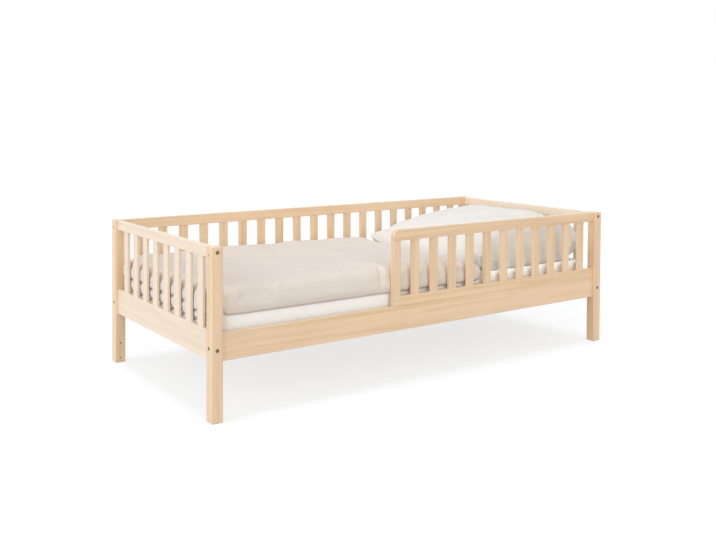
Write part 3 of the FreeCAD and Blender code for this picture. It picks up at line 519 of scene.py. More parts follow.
def metal_material(name, colour, roughness):
    """Turned and plated steel with fine scratches."""
    material, shade, shader = new_material(name)
    place = shade.add("TexCoord").outputs["Object"]
    wear = shade.noise(place, (220.0, 220.0, 220.0), 3.0)
    scratch = shade.noise(place, (3000.0, 3000.0, 400.0), 1.0)
    shade.wire(shader, {
        "Base Color": shade.mix(shade.spread(wear, 0.35, 0.7), colour, shaded(colour, 0.7)),
        "Metallic": 1.0,
        "Roughness": shade.math("ADD", roughness, shade.math("MULTIPLY", wear, 0.15)),
        "Normal": shade.bump(scratch, 0.2, 0.0001)})
    return material


# Settings that a user would change

def colour_setting(name, description, *parts):
    """A colour to be picked in the panel."""
    return bpy.props.FloatVectorProperty(
        name=name, description=description, subtype="COLOR", size=4, min=0, max=1,
        default=(*parts, 1))


def number_setting(name, description, default, **limits):
    """A number to be set in the panel."""
    return bpy.props.FloatProperty(name=name, description=description, default=default, **limits)


class BedTimberSettings(bpy.types.PropertyGroup):
    """Colours and figure of the wood and its fittings."""

    light: colour_setting("Light wood", "Colour of the wood's pale grain", 0.81, 0.60, 0.398)
    dark: colour_setting("Dark wood", "Colour of the wood's darker rings", 0.65, 0.412, 0.21)
    # The end panels' two colours are a paler, cooler copy of the beech. This is painted light: it
    # stands in for the stronger side light on their faces turned towards -X.
    end_light_painted_lit: colour_setting("Light end boards painted lit", "Pale grain of the end panels, made paler and cooler as painted light",
                              0.84, 0.70, 0.555)
    end_dark_painted_lit: colour_setting("Dark end boards painted lit", "Darker rings of the end panels, made paler and cooler as painted light",
                             0.76, 0.60, 0.45)
    bolt: colour_setting("Bolts", "Colour of the bronzed bolts", 0.30, 0.20, 0.13)
    strip_width: number_setting(
        "Strip width", "Width of the strips that a board is glued from", 0.052, min=0.01,
        subtype="DISTANCE", unit="LENGTH")
    strip_contrast: number_setting("Strip contrast", "How much the strips differ in tone", 0.36,
                                   min=0, max=1, subtype="FACTOR")


# Thickness of the duvet at its fullest, in metres, which its table of lofts is made for.
FULL_LOFT = 0.088


class BedLinenSettings(bpy.types.PropertyGroup):
    """Colours and sizes of the bedding."""

    sheet: colour_setting("Sheet", "Colour of the fitted sheet", 0.985, 0.985, 0.98)
    duvet: colour_setting("Duvet", "Colour of the duvet cover", 0.74, 0.668, 0.61)
    pillow: colour_setting("Pillow", "Colour of the pillow case", 0.77, 0.75, 0.72)
    loft: number_setting("Duvet loft", "Thickness of the duvet where it is fullest", FULL_LOFT,
                         min=0.02, subtype="DISTANCE", unit="LENGTH")
    crumple: number_setting("Crumple", "How deep the duvet's folds are, 1 as pictured", 1.0,
                            min=0, max=2)


class BedStageSettings(bpy.types.PropertyGroup):
    """Camera and light."""

    camera_place: bpy.props.FloatVectorProperty(
        name="Camera", description="Where the camera stands", subtype="TRANSLATION",
        unit="LENGTH", default=(-2.4322, -3.3148, 1.1049))
    camera_heading: number_setting("Heading", "The camera's turn from +Y towards +X", 0.62045,
                                   subtype="ANGLE")
    camera_pitch: number_setting("Pitch", "How far the camera looks down", 0.03016,
                                 subtype="ANGLE")
    camera_roll: number_setting("Roll", "The camera's tilt about its own line of sight", 0.00572,
                                subtype="ANGLE")
    focal_pixels: number_setting("Focal length", "Focal length in pixels of the picture", 886.71,
                                 min=100)
    shift_pixels: number_setting(
        "Shift", "How far the picture's middle lies below the line of sight, in pixels", 130.0)
    overhead: number_setting("Overhead light", "Strength of the light straight above the bed",
                             0.82, min=0)
    front: number_setting("Front light", "Strength of the wide soft light in front of the bed",
                          1.75, min=0)
    side: number_setting("Side light", "Strength of the wide soft light beyond the foot end",
                         1.5, min=0)
    sky: number_setting("Fill light", "Strength of the even light from all round", 0.50, min=0)


# Timber and fittings

def grain_of(node):
    """The axis that a wooden piece's grain follows: its longest side, or that of each of the
    pieces in its node."""
    if node == "dowels":
        return "x"
    if node == "base_slats":
        return "y"
    if node.startswith("rear_slats"):
        return "z"
    low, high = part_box(node)
    return "xyz"[int(np.argmax(np.array(high) - np.array(low)))]


class BED_OT_timber(bpy.types.Operator):
    """Finish the posts, rails, boards, slats and slatted base in planed wood"""

    bl_idname = "bed.timber"
    bl_label = "Timber"

    def execute(self, context):
        looks = context.scene.bed_timber
        # For each finish its name, two colours, strip width and contrast, and ring contrast.
        strips = (looks.strip_width, looks.strip_contrast)
        finishes = {"beech": ("Beech", looks.light, looks.dark, *strips),
                    "end": ("Beech painted lit", looks.end_light_painted_lit, looks.end_dark_painted_lit, *strips),
                    "base_wood": ("Softwood", shaded(looks.light, 0.96), looks.dark,
                                  0.07, 0.25, 0.65),
                    "dowel_wood": ("Dowel wood", looks.light, looks.dark, 0.02, 0.3)}
        made = {}
        for row in frame["record"]["subparts"]:
            node, kind = row["node"], row["material_slot"]
            if kind not in finishes:
                continue
            grain = grain_of(node)
            # End-panel pieces take that paler copy of the beech, which is painted light on their
            # faces turned towards -X.
            if node.startswith(("foot_", "head_")):
                kind = "end"
            if (kind, grain) not in made:
                name, *finish = finishes[kind]
                made[kind, grain] = wood_material(f"{name} along {grain}", grain, *finish)
            set_material(frame["nodes"][node], made[kind, grain])
        return {"FINISHED"}


class BED_OT_fittings(bpy.types.Operator):
    """Finish the bolts, nuts, screws and the straps of the base"""

    bl_idname = "bed.fittings"
    bl_label = "Fittings"

    def execute(self, context):
        looks = context.scene.bed_timber
        bronze = metal_material("Bronzed steel", looks.bolt, 0.34)
        zinc = metal_material("Zinc plated steel", (0.55, 0.55, 0.53, 1), 0.3)
        for node in ("connector_bolts", "top_rail_bolts", "tie_bolts"):
            set_material(frame["nodes"][node], bronze)
        for node in ("barrel_nuts", "wood_screws"):
            set_material(frame["nodes"][node], zinc)
        material, shade, shader = new_material("Strap webbing")
        place = shade.add("TexCoord").outputs["Object"]
        weave = shade.add("Group", node_tree=weave_group(), inputs={
            "Vector": place, "Color": (0.72, 0.70, 0.66, 1), "Shade": (0.55, 0.53, 0.5, 1),
            "Thread": 0.002, "Slub": 0.3, "Mottle": 0.1})
        shade.wire(shader, {
            "Base Color": weave.outputs["Color"], "Roughness": 0.8,
            "Normal": shade.bump(weave.outputs["Height"], 0.8, 0.0006)})
        set_material(frame["nodes"]["base_straps"], material)
        return {"FINISHED"}


# Mattress and sheet

# Room between the mattress's cover and the sheet over it, in metres.
COVER_ROOM = 0.0004

# The round of the sheet's long edges, which the duvet bends over.
BEND = 0.0195

# The grid of the sheet, and how many of its rings go under the mattress.
SHEET_COLUMNS, SHEET_ROWS, TUCKED_ROWS = 760, 70, 7

# Metres round the sheet, where its gathered corners are, how wide they are, and the part of
# its plan that its sides face away from.
SHEET_GIRTH = 5.6
GATHERED_AT, GATHERED_WIDTH = (0.96, 0.41), 0.05
SHEET_CORE = (0.9, 0.36)

# The swelling of the mattress's foot: its depth and its upper edge.
ROLL_DEPTH, ROLL_TOP = 0.0183, 0.332


def rounded_plan(half_x, half_y, radius, count):
    """Points round a rectangle with round corners, evenly spaced, from its +X side."""
    turn = np.linspace(0, math.pi / 2, 24)
    corners = []
    for quarter, (x, y) in enumerate(((1, 1), (-1, 1), (-1, -1), (1, -1))):
        centre = np.array([x * (half_x - radius), y * (half_y - radius)])
        angle = turn + quarter * math.pi / 2
        corners.append(centre + radius * np.stack([np.cos(angle), np.sin(angle)], 1))
    line = np.concatenate(corners + [corners[0][:1]])
    return evenly(line, count + 1)[:-1]


def block_surface(low, high, radius, edge, count, rows):
    """A soft block as rings: each ring is the plan drawn in or dropped along a side profile.

    The profile runs from the middle of the top, over a round edge, down the side and under
    to the middle of the bottom. rows is how many rings the top has, and so the bottom.
    """
    half_x, half_y = (high[0] - low[0]) / 2, (high[1] - low[1]) / 2
    top, bottom = high[2], low[2]
    turn = np.linspace(0, math.pi / 2, 10)
    side = np.linspace(top - edge, bottom + edge, 8)[1:-1]
    inset = np.concatenate([np.linspace(half_y, edge, rows)[:-1], edge * (1 - np.sin(turn)),
                            0 * side, edge * (1 - np.cos(turn)),
                            np.linspace(edge, half_y, rows)[1:]])
    height = np.concatenate([np.full(rows - 1, top), top - edge * (1 - np.cos(turn)), side,
                             bottom + edge * (1 - np.sin(turn)), np.full(rows - 1, bottom)])
    points = np.zeros((len(inset), count, 3))
    points[:, :, :2] = (1 - inset / half_y)[:, None, None] * rounded_plan(
        half_x, half_y, radius, count)
    points[:, :, 2] = height[:, None]
    return points


class BED_OT_mattress(bpy.types.Operator):
    """Make the mattress in its knitted cover"""

    bl_idname = "bed.mattress"
    bl_label = "Mattress"

    def execute(self, context):
        low, high = np.array(MATTRESS_LOW), np.array(MATTRESS_HIGH)
        vertices, faces = ring_mesh(block_surface(
            low + COVER_ROOM, high - COVER_ROOM, radius=0.055, edge=0.018, count=320, rows=20),
            poles=2)
        piece = new_object("mattress_block", vertices, faces,
                           vertices[:, :2] + vertices[:, 2:] * 0.5)
        material = cloth_material("Mattress cover", (0.82, 0.81, 0.78, 1), (0.7, 0.69, 0.66, 1),
                                  thread=0.004, slub=0.2, mottle=0.1, sheen=0.1, depth=0.0012)
        finish_piece(piece, material, "bed_mattress", "mattress")
        return {"FINISHED"}


def foot_roll(points):
    """How far the mattress swells out at its foot, in the room between it and the foot board.

    The roll stands below the quilt's hem and ends before the posts.
    """
    x, y, z = np.moveaxis(points, -1, 0)
    height = smoothstep(ROLL_TOP, ROLL_TOP - 0.008, z) * smoothstep(
        SHEET_LOW[2], SHEET_LOW[2] + 0.03, z)
    width = smoothstep(0.432, 0.40, np.abs(y))
    return ROLL_DEPTH * height * width * smoothstep(-0.975, -0.99, x)


def sheet_form():
    """The sheet's rings from the middle of its top to its edge under the mattress, with faint
    ripples down its sides and upright gathers at its corners."""
    points = block_surface(SHEET_LOW, SHEET_HIGH, radius=0.0565, edge=BEND,
                           count=SHEET_COLUMNS, rows=SHEET_ROWS)
    points = points[:len(points) - (SHEET_ROWS - 1) + TUCKED_ROWS]
    across, along = np.meshgrid(
        running_length(points[:, 0]), np.arange(SHEET_COLUMNS) / SHEET_COLUMNS * SHEET_GIRTH,
        indexing="ij")
    side = smoothstep(SHEET_HIGH[2] - 0.012, SHEET_HIGH[2] - 0.03, points[..., 2])
    plan = np.abs(points[..., :2])
    corner = np.exp(-(((plan - GATHERED_AT) / GATHERED_WIDTH) ** 2).sum(-1))
    outward = np.sign(points[..., :2]) * np.maximum(plan - SHEET_CORE, 0)
    outward /= np.maximum(np.linalg.norm(outward, axis=2, keepdims=True), 1e-9)
    ripple = (0.5 + 0.5 * soft_noise(along, across * 0.4, 0.09, 5)) * 0.0005
    ripple += corner * (0.5 + 0.5 * np.sin(along * 420)) * 0.002
    points[..., :2] -= outward * (side * ripple)[..., None]
    points[..., 0] -= foot_roll(points)
    return points


class BED_OT_sheet(bpy.types.Operator):
    """Make the fitted sheet, drawn tight over the mattress and gathered at its corners"""

    bl_idname = "bed.fitted_sheet"
    bl_label = "Fitted sheet"

    def execute(self, context):
        looks = context.scene.bed_linen
        vertices, faces = ring_mesh(sheet_form(), poles=1)
        x, y, z = vertices.T
        piece = new_object("sheet_cloth", vertices, faces, np.stack([x + 0.3 * z, y + z], 1))
        material = cloth_material("Sheet cotton", looks.sheet, shaded(looks.sheet, 0.99),
                                  thread=0.0009, slub=0.25, mottle=0.15, sheen=0.1)
        finish_piece(piece, material, "bed_mattress", "fitted_sheet")
        return {"FINISHED"}


# Duvet

# The duvet's grid and its half width.
DUVET_ROWS, DUVET_COLUMNS = 198, 272
DUVET_HALF = float(DUVET_HIGH[1])

# The duvet's foot: the share of its path that a quarter of its rows lie on, and how far along
# the path its flap ends and its top starts.
FOOT_SHARE = 0.095
FLAP_RUN = 0.057

# How thick the duvet is, in metres, at metres from its foot end and from its head end.
LOFT_FROM_FOOT = (
    (0, 0.004), (0.005, 0.012), (0.013, 0.018), (0.03, 0.023), (0.045, 0.0245), (0.054, 0.0295),
    (0.0592, 0.0375), (0.0643, 0.058), (0.069, 0.065), (0.0745, 0.068), (0.092, 0.074),
    (0.107, 0.079), (0.137, 0.084), (0.187, 0.087), (0.3, 0.087), (0.42, 0.084), (0.55, 0.088),
    (0.7, 0.085), (0.85, 0.088), (0.97, 0.085))
LOFT_FROM_HEAD = (
    (0.28, 0.081), (0.166, 0.074), (0.1, 0.068), (0.06, 0.062), (0.025, 0.050), (0.009, 0.037),
    (0, 0.012))

# Heights of the two creases that the slats press into the duvet's foot.
HEM_CREASE_Z, TOP_CREASE_Z = 0.381, 0.451


def duvet_path(count):
    """The line that the duvet lies on: up the mattress's foot, over its edge and along its top.

    Gives the points as x and z, closer together at the foot, and the unit directions that
    stand on them.
    """
    low = float(DUVET_LOW[2]) - 0.0065
    turn = np.linspace(0, math.pi / 2, 12)
    rise = np.stack([np.full(8, FOOT_X), np.linspace(low, UNDER_Z - BEND, 8)], 1)
    bend = np.stack([FOOT_X + BEND * (1 - np.cos(turn)), UNDER_Z - BEND * (1 - np.sin(turn))], 1)
    flat = np.stack([np.linspace(FOOT_X + BEND, float(DUVET_HIGH[0]) + 0.011, 60),
                     np.full(60, UNDER_Z)], 1)
    near = count // 4
    shares = np.concatenate([np.linspace(0, FOOT_SHARE, near)[:-1],
                             np.linspace(FOOT_SHARE, 1, count - near + 1)])
    line = at_shares(np.concatenate([rise, bend[1:], flat[1:]]), shares)
    along = np.gradient(line, axis=0)
    along /= np.linalg.norm(along, axis=1, keepdims=True)
    return line, np.stack([-along[:, 1], along[:, 0]], 1)


def duvet_sections(count):
    """The duvet's outline across the bed in units of its loft: flat below, crowned above.

    Returns the two halves, each from the front tip to the rear tip, as y and height, with a
    third column that tells how far the front flap hangs. Steps along them are measured with
    a loft as 0.08 m and a flap as 0.03 m.
    """
    half = DUVET_HALF
    metres = np.array([1, 0.08, 0.03])
    top = np.array([
        (-half + 0.005, 0.0, 1.0), (-half - 0.0005, 0.1, 0.8), (-half, 0.35, 0.25),
        (-half + 0.006, 0.62, 0.0), (-half + 0.022, 0.86, 0.0), (-half + 0.055, 0.98, 0.0),
        (-0.30, 1.0, 0.0), (-0.15, 0.97, 0.0), (0.0, 0.95, 0.0), (0.15, 0.97, 0.0),
        (0.30, 1.0, 0.0), (half - 0.055, 0.98, 0.0), (half - 0.02, 0.86, 0.0),
        (half - 0.004, 0.6, 0.0), (half, 0.35, 0.0), (half - 0.004, 0.12, 0.0)])
    low = np.array([
        (-half + 0.005, 0.0, 1.0), (-half + 0.0095, 0.0, 0.9), (-half + 0.0100, 0.0, 0.45),
        (-half + 0.0165, 0.0, 0.12), (-half + 0.03, 0.0, 0.0), (-0.3, 0.0, 0.0),
        (0.0, 0.0, 0.0), (0.3, 0.0, 0.0), (half - 0.02, 0.0, 0.0), (half - 0.004, 0.12, 0.0)])
    halves = []
    for outline in (top, low):
        places = running_length(outline * metres)
        fine = through(places, outline, np.linspace(0, places[-1], 900))
        halves.append(evenly(fine * metres, count // 2 + 1) / metres)
    return halves


def duvet_folds(u, v, run_length, crumple):
    """How far the quilt's cover stands off its smooth form.

    Broad swells and fine drawn-out creases lie over its top, upright folds in its front face
    behind the guard, with a deeper one beside the stile, and rolls towards the pillow.
    """
    swell = 0.006 * soft_noise(u, v, 0.21, 3) + 0.0035 * soft_noise(u, v, 0.09, 4)
    fine = 0.0022 * wrinkles(u, v, 0.06, 3.2, 0.3, 12)
    fine += 0.0014 * wrinkles(u, v, 0.035, 3.0, -0.6, 21)
    patch = smoothstep(-0.15, 0.55, soft_noise(u, v, 0.26, 40))
    near_head = smoothstep(run_length - 0.22, run_length - 0.10, u)
    roll = 0.011 * np.abs(soft_noise(u, v * 0.6, 0.075, 51)) ** 0.6 - 0.006
    drawn = 0.004 * wrinkles(u, v, 0.075, 2.6, 0.9, 61) * smoothstep(0.5, 0.2, u)
    drawn += 0.003 * wrinkles(u, v, 0.05, 4.0, 1.45, 62) * smoothstep(
        run_length - 0.45, run_length - 0.2, u)
    stile = STILE_X - FOOT_X - BEND + 0.0745
    beside = -0.007 * np.exp(-((u - stile + 0.042 - 0.12 * (v - 0.05)) / 0.011) ** 2)
    upright = 0.0045 * wrinkles(u, v * 0.25, 0.055, 1.0, 0.0, 33)
    upright *= smoothstep(stile, stile + 0.07, u)
    front_face = smoothstep(0.14, 0.09, v)
    lift = swell + fine * (0.4 + 0.6 * patch) + drawn + front_face * (beside + upright)
    return crumple * (lift + roll * near_head)


def crease(away, width):
    """1 in a crease, falling to 0 at about twice its width: exp(-|away / width| ^ 1.6)."""
    return np.exp(-np.abs(away / width) ** 1.6)


def foot_puffs(points, crumple):
    """Press the quilt's foot against the slats, so that it swells out between them.

    Each gap has one rounded swelling. Below it a level crease parts it from the hem, above it a
    slanting crease from the quilt's top, and behind the slat beside it is an upright crease.
    Their places wander from gap to gap.
    """
    x, y, z = np.moveaxis(points, -1, 0)
    pitch = FOOT_SLAT_NEXT[1] - FOOT_SLAT_LOW[1]
    half_gap = (pitch - FOOT_SLAT_HIGH[1] + FOOT_SLAT_LOW[1]) / 2
    along = (y - (FOOT_SLAT_LOW[1] + FOOT_SLAT_HIGH[1]) / 2) / pitch - 0.5
    gap = np.round(along)
    place = (along - gap) * pitch
    wander = soft_noise(gap * 0.7, 0 * z, 1.0, 71)
    other = soft_noise(gap * 0.7, 0 * z, 1.0, 72)
    swelling = np.clip(1 - (place / (0.94 * half_gap)) ** 2, 0, 1) ** 0.45
    hem_line = HEM_CREASE_Z + 0.016 * wander - 0.12 * place
    top_line = TOP_CREASE_Z + 0.010 * other - (0.3 + 0.2 * wander) * place
    upright = crease(place - half_gap - 0.007 - 0.003 * other, 0.007)
    upright *= smoothstep(0.385, 0.41, z)
    below = smoothstep(hem_line - 0.004, hem_line - 0.016, z) * smoothstep(0.333, 0.343, z)
    above = smoothstep(hem_line - 0.002, hem_line + 0.014, z) * smoothstep(
        top_line + 0.006, top_line - 0.012, z)
    outward = swelling * (0.0070 * above + 0.0055 * below) - 0.009 * upright
    outward -= 0.009 * crease(z - hem_line, 0.0055) + 0.008 * crease(z - top_line, 0.008)
    at_foot = smoothstep(-0.975, -1.004, x) * smoothstep(0.49, 0.465, z)
    return np.stack([x - crumple * outward * at_foot, y, z], -1)


def keep_duvet_in(points):
    """Hold the duvet clear of the foot panel and the side rails that it lies between."""
    x, y, z = np.moveaxis(points, -1, 0)
    return np.stack([soft_floor(x, FOOT_REACH, 0.0012), np.clip(y, -SIDE_REACH, SIDE_REACH), z], -1)


def duvet_form(full_loft, crumple):
    """The duvet before it settles: its rings, their places on the cloth, and how far each
    point is held.

    At each step of the path the outline stands up by the loft there and the front flap hangs
    down. The folds are then added along the upper side's own direction.
    """
    line, stand = duvet_path(DUVET_ROWS)
    run = running_length(line)
    length = run[-1]
    table = LOFT_FROM_FOOT + tuple((length - away, loft) for away, loft in LOFT_FROM_HEAD)
    loft = profile(table, run) * full_loft / FULL_LOFT
    hang = 0.0275 * smoothstep(FLAP_RUN, 0.092, run) * smoothstep(length, length - 0.02, run)
    narrow = 0.014 * smoothstep(0.16, 0.02, run) + 0.006 * smoothstep(length - 0.06, length, run)
    top, low = duvet_sections(DUVET_COLUMNS)
    outline = np.concatenate([top, low[-2:0:-1]])
    y = outline[None, :, 0] * (1 - narrow[:, None] / DUVET_HALF)
    height = outline[None, :, 1] * loft[:, None] - outline[None, :, 2] * hang[:, None]
    points = np.stack([line[:, None, 0] + height * stand[:, None, 0], y,
                       line[:, None, 1] + height * stand[:, None, 1]], -1)
    girth = running_length(points[DUVET_ROWS // 2])
    u, v = np.meshgrid(run, girth, indexing="ij")
    upper = np.arange(DUVET_COLUMNS)[None] <= DUVET_COLUMNS // 2
    edge = (smoothstep(FLAP_RUN, 0.097, run) * smoothstep(0, 0.02, length - run))[:, None]
    hem = smoothstep(0.0, 0.08, v)
    lift = duvet_folds(u, v, length, crumple) * edge * hem * upper
    points = keep_duvet_in(points + surface_normals(points) * lift[..., None])
    rear_hem = smoothstep(0.0, 0.03, girth[DUVET_COLUMNS // 2] - v)
    held = np.maximum(np.where(upper, 1 - hem * rear_hem, 1.0),
                      np.maximum(1 - edge, smoothstep(0.137, 0.087, u)))
    return points, np.stack([u, v], -1), held.ravel()


class BED_OT_duvet(bpy.types.Operator):
    """Make the duvet, tucked down at the foot, rolled at its sides and softly crumpled"""

    bl_idname = "bed.duvet"
    bl_label = "Duvet"

    def execute(self, context):
        looks = context.scene.bed_linen
        points, uv, held = duvet_form(looks.loft, looks.crumple)
        last = (DUVET_ROWS - 1) * DUVET_COLUMNS
        faces = grid_faces(DUVET_ROWS, DUVET_COLUMNS, closed=True)
        faces += zip_loop(0, DUVET_COLUMNS, False) + zip_loop(last, DUVET_COLUMNS, True)
        piece = new_object("duvet_quilt", points, faces, uv)
        settle(piece, held, pressure=2.5, spare=0.025, cap=0.007)
        points = keep_duvet_in(point_array(piece.data))
        put_points(piece.data, foot_puffs(points, looks.crumple))
        material = cloth_material("Duvet cotton", looks.duvet, shaded(looks.duvet, 0.9),
                                  thread=0.0011, slub=0.35, mottle=0.25, sheen=0.25)
        finish_piece(piece, material, "bed_duvet", "duvet")
        return {"FINISHED"}


# Pillow

# The pillow's grid, and the height of its crown over the sheet.
PILLOW_COUNT = 117
PILLOW_CROWN = 0.213

# How full the pillow is across the bed, and how its top rises along the bed from its foot seam.
PILLOW_ACROSS = (
    (-1.0, 0.0), (-0.98, 0.28), (-0.92, 0.5), (-0.8, 0.69), (-0.62, 0.84), (-0.38, 0.95),
    (0.0, 1.0), (0.38, 0.935), (0.62, 0.80), (0.8, 0.61), (0.91, 0.39), (0.972, 0.2), (1.0, 0.0))
PILLOW_ALONG = (
    (0.0, 0.0), (0.02, 0.17), (0.06, 0.27), (0.14, 0.40), (0.26, 0.565), (0.42, 0.76),
    (0.58, 0.925), (0.7, 0.995), (0.82, 1.0), (0.91, 0.9), (0.965, 0.65), (0.988, 0.38),
    (1.0, 0.0))

# How soon its underside reaches the sheet, and how far its front seam hangs, both along the bed.
PILLOW_UNDER = ((0.0, 0.0), (0.012, 0.42), (0.04, 0.8), (0.09, 1.0), (0.6, 1.0), (0.76, 0.93),
                (0.88, 0.7), (0.96, 0.38), (1.0, 0.0))
PILLOW_DROOP = ((0.0, 0.045), (0.1, 0.066), (0.45, 0.102), (0.68, 0.109), (0.81, 0.101),
                (0.9, 0.075), (0.95, 0.058), (1.0, 0.045))


def pillow_form():
    """The pillow's upper and lower side as two square grids that share their rim.

    Its seam rises towards the head end and sags at its corners. The top stands over it, and the
    underside sinks to the sheet, steeper at the front than at the rear.
    """
    share = np.linspace(-1, 1, PILLOW_COUNT)
    places = np.sin(share * math.pi / 2) * 0.8 + share * 0.2
    a, b = np.meshgrid(places, places, indexing="ij")
    low, high = np.array(PILLOW_LOW), np.array(PILLOW_HIGH)
    centre, half = (low + high) / 2, (high - low) / 2
    x = centre[0] + a * (half[0] - 0.016 * (1 - b ** 2))
    y = centre[1] + b * (half[1] - 0.004 * (1 - a ** 2))
    along, across = (a + 1) / 2, b
    near_foot = smoothstep(0.3, 0.0, along)
    sag = 0.050 * (1 - across ** 6) * near_foot
    sag += profile(PILLOW_DROOP, along) * smoothstep(-0.86, -1.0, across)
    sag -= 0.045 * near_foot * smoothstep(-0.6, -1.0, across)
    seam = UNDER_Z + 0.074 * (1 + along) - sag
    full = profile(PILLOW_ACROSS, across)
    rise = profile(PILLOW_ALONG, along) * full
    rise *= 1 - 0.5 * smoothstep(0.74, 1.0, along) * smoothstep(-0.3, -0.9, across)
    u, v = a * half[0], b * half[1]
    lump = 0.007 * soft_noise(u, v, 0.19, 8) + 0.004 * soft_noise(u, v, 0.09, 15)
    lump += 0.003 * wrinkles(u, v, 0.075, 2.4, 0.8, 14)
    top = seam + (UNDER_Z + PILLOW_CROWN - seam) * rise + lump * smoothstep(0, 0.4, rise)
    steep = 3.6 - 2.1 * smoothstep(-0.3, 0.3, across)
    sink = profile(PILLOW_UNDER, along) * np.minimum(1, steep * full)
    under = seam - (seam - UNDER_Z) * np.clip(sink, 0, 1)
    return np.stack([x, y, top], -1), np.stack([x, y, np.minimum(under, top - 0.0001)], -1)


def cushion_mesh(upper, lower):
    """Points and faces of two square grids joined at their rim, which the upper one gives."""
    count = len(upper)
    index = np.arange(count * count).reshape(count, count)
    index[1:-1, 1:-1] = count * count + np.arange((count - 2) ** 2).reshape(count - 2, -1)
    grid = np.array(grid_faces(count, count))
    faces = index.ravel()[grid].tolist() + grid[:, ::-1].tolist()
    return np.concatenate([upper.reshape(-1, 3), lower[1:-1, 1:-1].reshape(-1, 3)]), faces


def keep_pillow_in(points):
    """Hold the pillow clear of the sheet below it, the head panel and the side rails."""
    x, y, z = points.T
    return np.stack([np.minimum(x, HEAD_REACH), np.clip(y, -SIDE_REACH, SIDE_REACH),
                     np.maximum(z, UNDER_Z)], -1)


class BED_OT_pillow(bpy.types.Operator):
    """Make the large pillow, crowned, drawn in between its corners and leant on the head panel"""

    bl_idname = "bed.pillow"
    bl_label = "Pillow"

    def execute(self, context):
        looks = context.scene.bed_linen
        vertices, faces = cushion_mesh(*pillow_form())
        piece = new_object("pillow_case", vertices, faces, vertices[:, :2] + vertices[:, 2:] * 0.3)
        resting = smoothstep(0.02, 0.0, vertices[:, 2] - UNDER_Z)
        settle(piece, resting, pressure=4.0, spare=0.03, cap=0.008)
        put_points(piece.data, keep_pillow_in(point_array(piece.data)))
        material = cloth_material("Pillow cotton", looks.pillow, shaded(looks.pillow, 0.93),
                                  thread=0.0011, slub=0.3, mottle=0.2, sheen=0.25)
        finish_piece(piece, material, "bed_pillow", "pillow")
        return {"FINISHED"}


# Floor, light and camera

FLOOR_HALF = 30.0


def seen_directly(shade):
    """1 for rays that show a surface to the camera, straight, mirrored or through glass."""
    rays = shade.add("LightPath").outputs
    return shade.math("MAXIMUM", rays["Is Camera Ray"], shade.math(
        "MAXIMUM", rays["Is Glossy Ray"], rays["Is Transmission Ray"]))


def floor_material():
    """A floor that looks white to the camera where it is lit, and keeps soft shadows."""
    material, shade, shader = new_material("Studio floor")
    shade.tree.nodes.remove(shader)
    lit = shade.add("BsdfDiffuse", inputs={"Color": (0.30, 0.305, 0.315, 1)})
    glow = shade.add("Emission", inputs={"Color": (0.99, 0.995, 1, 1), "Strength": 0.73})
    shown = shade.add("AddShader", inputs={0: lit.outputs[0], 1: glow.outputs[0]})
    plain = shade.add("BsdfDiffuse", inputs={"Color": (0.62, 0.61, 0.60, 1)})
    both = shade.add("MixShader", inputs={
        0: seen_directly(shade), 1: plain.outputs[0], 2: shown.outputs[0]})
    shade.wire(shade.tree.nodes["Material Output"], {"Surface": both.outputs[0]})
    return material


def studio_world(strength):
    """An even light of this strength from all round, behind which the camera sees white."""
    world = bpy.data.worlds.new("Studio")
    world.use_nodes = True
    shade = Shade(world.node_tree)
    seen = seen_directly(shade)
    shade.wire(world.node_tree.nodes["Background"], {
        "Strength": shade.math("ADD", strength, shade.math("MULTIPLY", seen, 1 - strength)),
        "Color": shade.mix(seen, (1.0, 0.985, 0.955, 1), (1, 1, 1, 1))})
    return world


def add_sun(name, strength, spread, direction, colour):
    """A distant light, spread being the angle it fills as seen from the bed, in degrees."""
    light = bpy.data.lights.new(name, "SUN")
    light.energy = strength
    light.angle = math.radians(spread)
    light.color = colour
    lamp = bpy.data.objects.new(name, light)
    lamp.rotation_mode = "QUATERNION"
    lamp.rotation_quaternion = Vector(direction).to_track_quat("-Z", "Y")
    bpy.context.scene.collection.objects.link(lamp)


def camera_turn(heading, pitch, roll):
    """The turn of a camera that looks along its heading, down by its pitch, tilted by its roll."""
    ahead = Vector((math.sin(heading) * math.cos(pitch), math.cos(heading) * math.cos(pitch),
                    -math.sin(pitch)))
    right = ahead.cross(Vector((0, 0, 1))).normalized()
    up = right.cross(ahead)
    side = right * math.cos(roll) + up * math.sin(roll)
    rise = up * math.cos(roll) - right * math.sin(roll)
    return Matrix((side, rise, -ahead)).transposed().to_4x4()


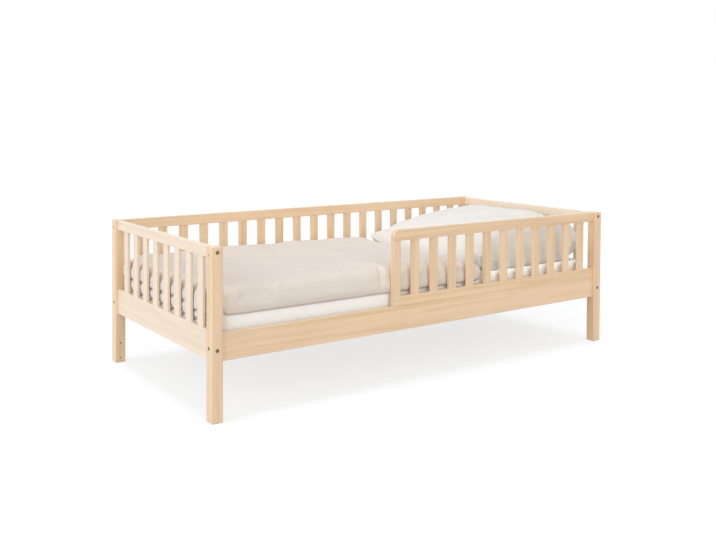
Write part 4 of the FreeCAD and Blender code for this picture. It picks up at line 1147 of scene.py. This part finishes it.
class BED_OT_stage(bpy.types.Operator):
    """Set up the pale floor, the soft light and the camera"""

    bl_idname = "bed.stage"
    bl_label = "Stage"

    def execute(self, context):
        scene = context.scene
        looks = scene.bed_stage
        scene.view_settings.view_transform = "Standard"
        corners = [(FLOOR_HALF * x, FLOOR_HALF * y, 0)
                   for x, y in ((-1, -1), (1, -1), (1, 1), (-1, 1))]
        floor = new_object("floor", corners, [[0, 1, 2, 3]])
        set_material(floor, floor_material())
        scene.world = studio_world(looks.sky)
        add_sun("Overhead", looks.overhead, 15, (0.0, 0.0, -1.0), (1.0, 1.0, 1.0))
        add_sun("Front", looks.front, 75, (0.45, 1.0, -0.22), (1.0, 0.985, 0.95))
        add_sun("Side", looks.side, 70, (1.0, -0.12, -0.3), (0.93, 0.97, 1.0))
        camera = bpy.data.cameras.new("Camera")
        camera.sensor_width = SENSOR
        camera.lens = looks.focal_pixels * SENSOR / PHOTO_WIDTH
        camera.shift_y = -looks.shift_pixels / PHOTO_WIDTH
        camera.clip_end = 100
        viewer = bpy.data.objects.new("Camera", camera)
        viewer.matrix_world = Matrix.Translation(looks.camera_place) @ camera_turn(
            looks.camera_heading, looks.camera_pitch, looks.camera_roll)
        scene.collection.objects.link(viewer)
        scene.camera = viewer
        return {"FINISHED"}


# The settings by their names in the scene, and the operators in the order that they run in.
SETTINGS = {"bed_timber": BedTimberSettings, "bed_linen": BedLinenSettings,
            "bed_stage": BedStageSettings}
STEPS = (BED_OT_timber, BED_OT_fittings, BED_OT_mattress, BED_OT_sheet, BED_OT_duvet,
         BED_OT_pillow, BED_OT_stage)


class BED_PT_panel(bpy.types.Panel):
    """The steps that make the bed, with their settings"""

    bl_idname = "BED_PT_panel"
    bl_label = "Children's bed"
    bl_space_type = "VIEW_3D"
    bl_region_type = "UI"
    bl_category = "Bed"

    def draw(self, context):
        for group in SETTINGS:
            settings = getattr(context.scene, group)
            box = self.layout.box()
            for name in settings.__annotations__:
                box.prop(settings, name)
        for step in STEPS:
            self.layout.operator(step.bl_idname)


CLASSES = (*SETTINGS.values(), *STEPS, BED_PT_panel)


def register():
    for item in CLASSES:
        bpy.utils.register_class(item)
    for group, settings in SETTINGS.items():
        setattr(bpy.types.Scene, group, bpy.props.PointerProperty(type=settings))


def unregister():
    for group in SETTINGS:
        delattr(bpy.types.Scene, group)
    for item in reversed(CLASSES):
        bpy.utils.unregister_class(item)


def main():
    """Register the classes and make each piece in order."""
    register()
    for step in STEPS:
        getattr(bpy.ops.bed, step.bl_idname.partition(".")[2])()


if __name__ == "__main__":
    main()
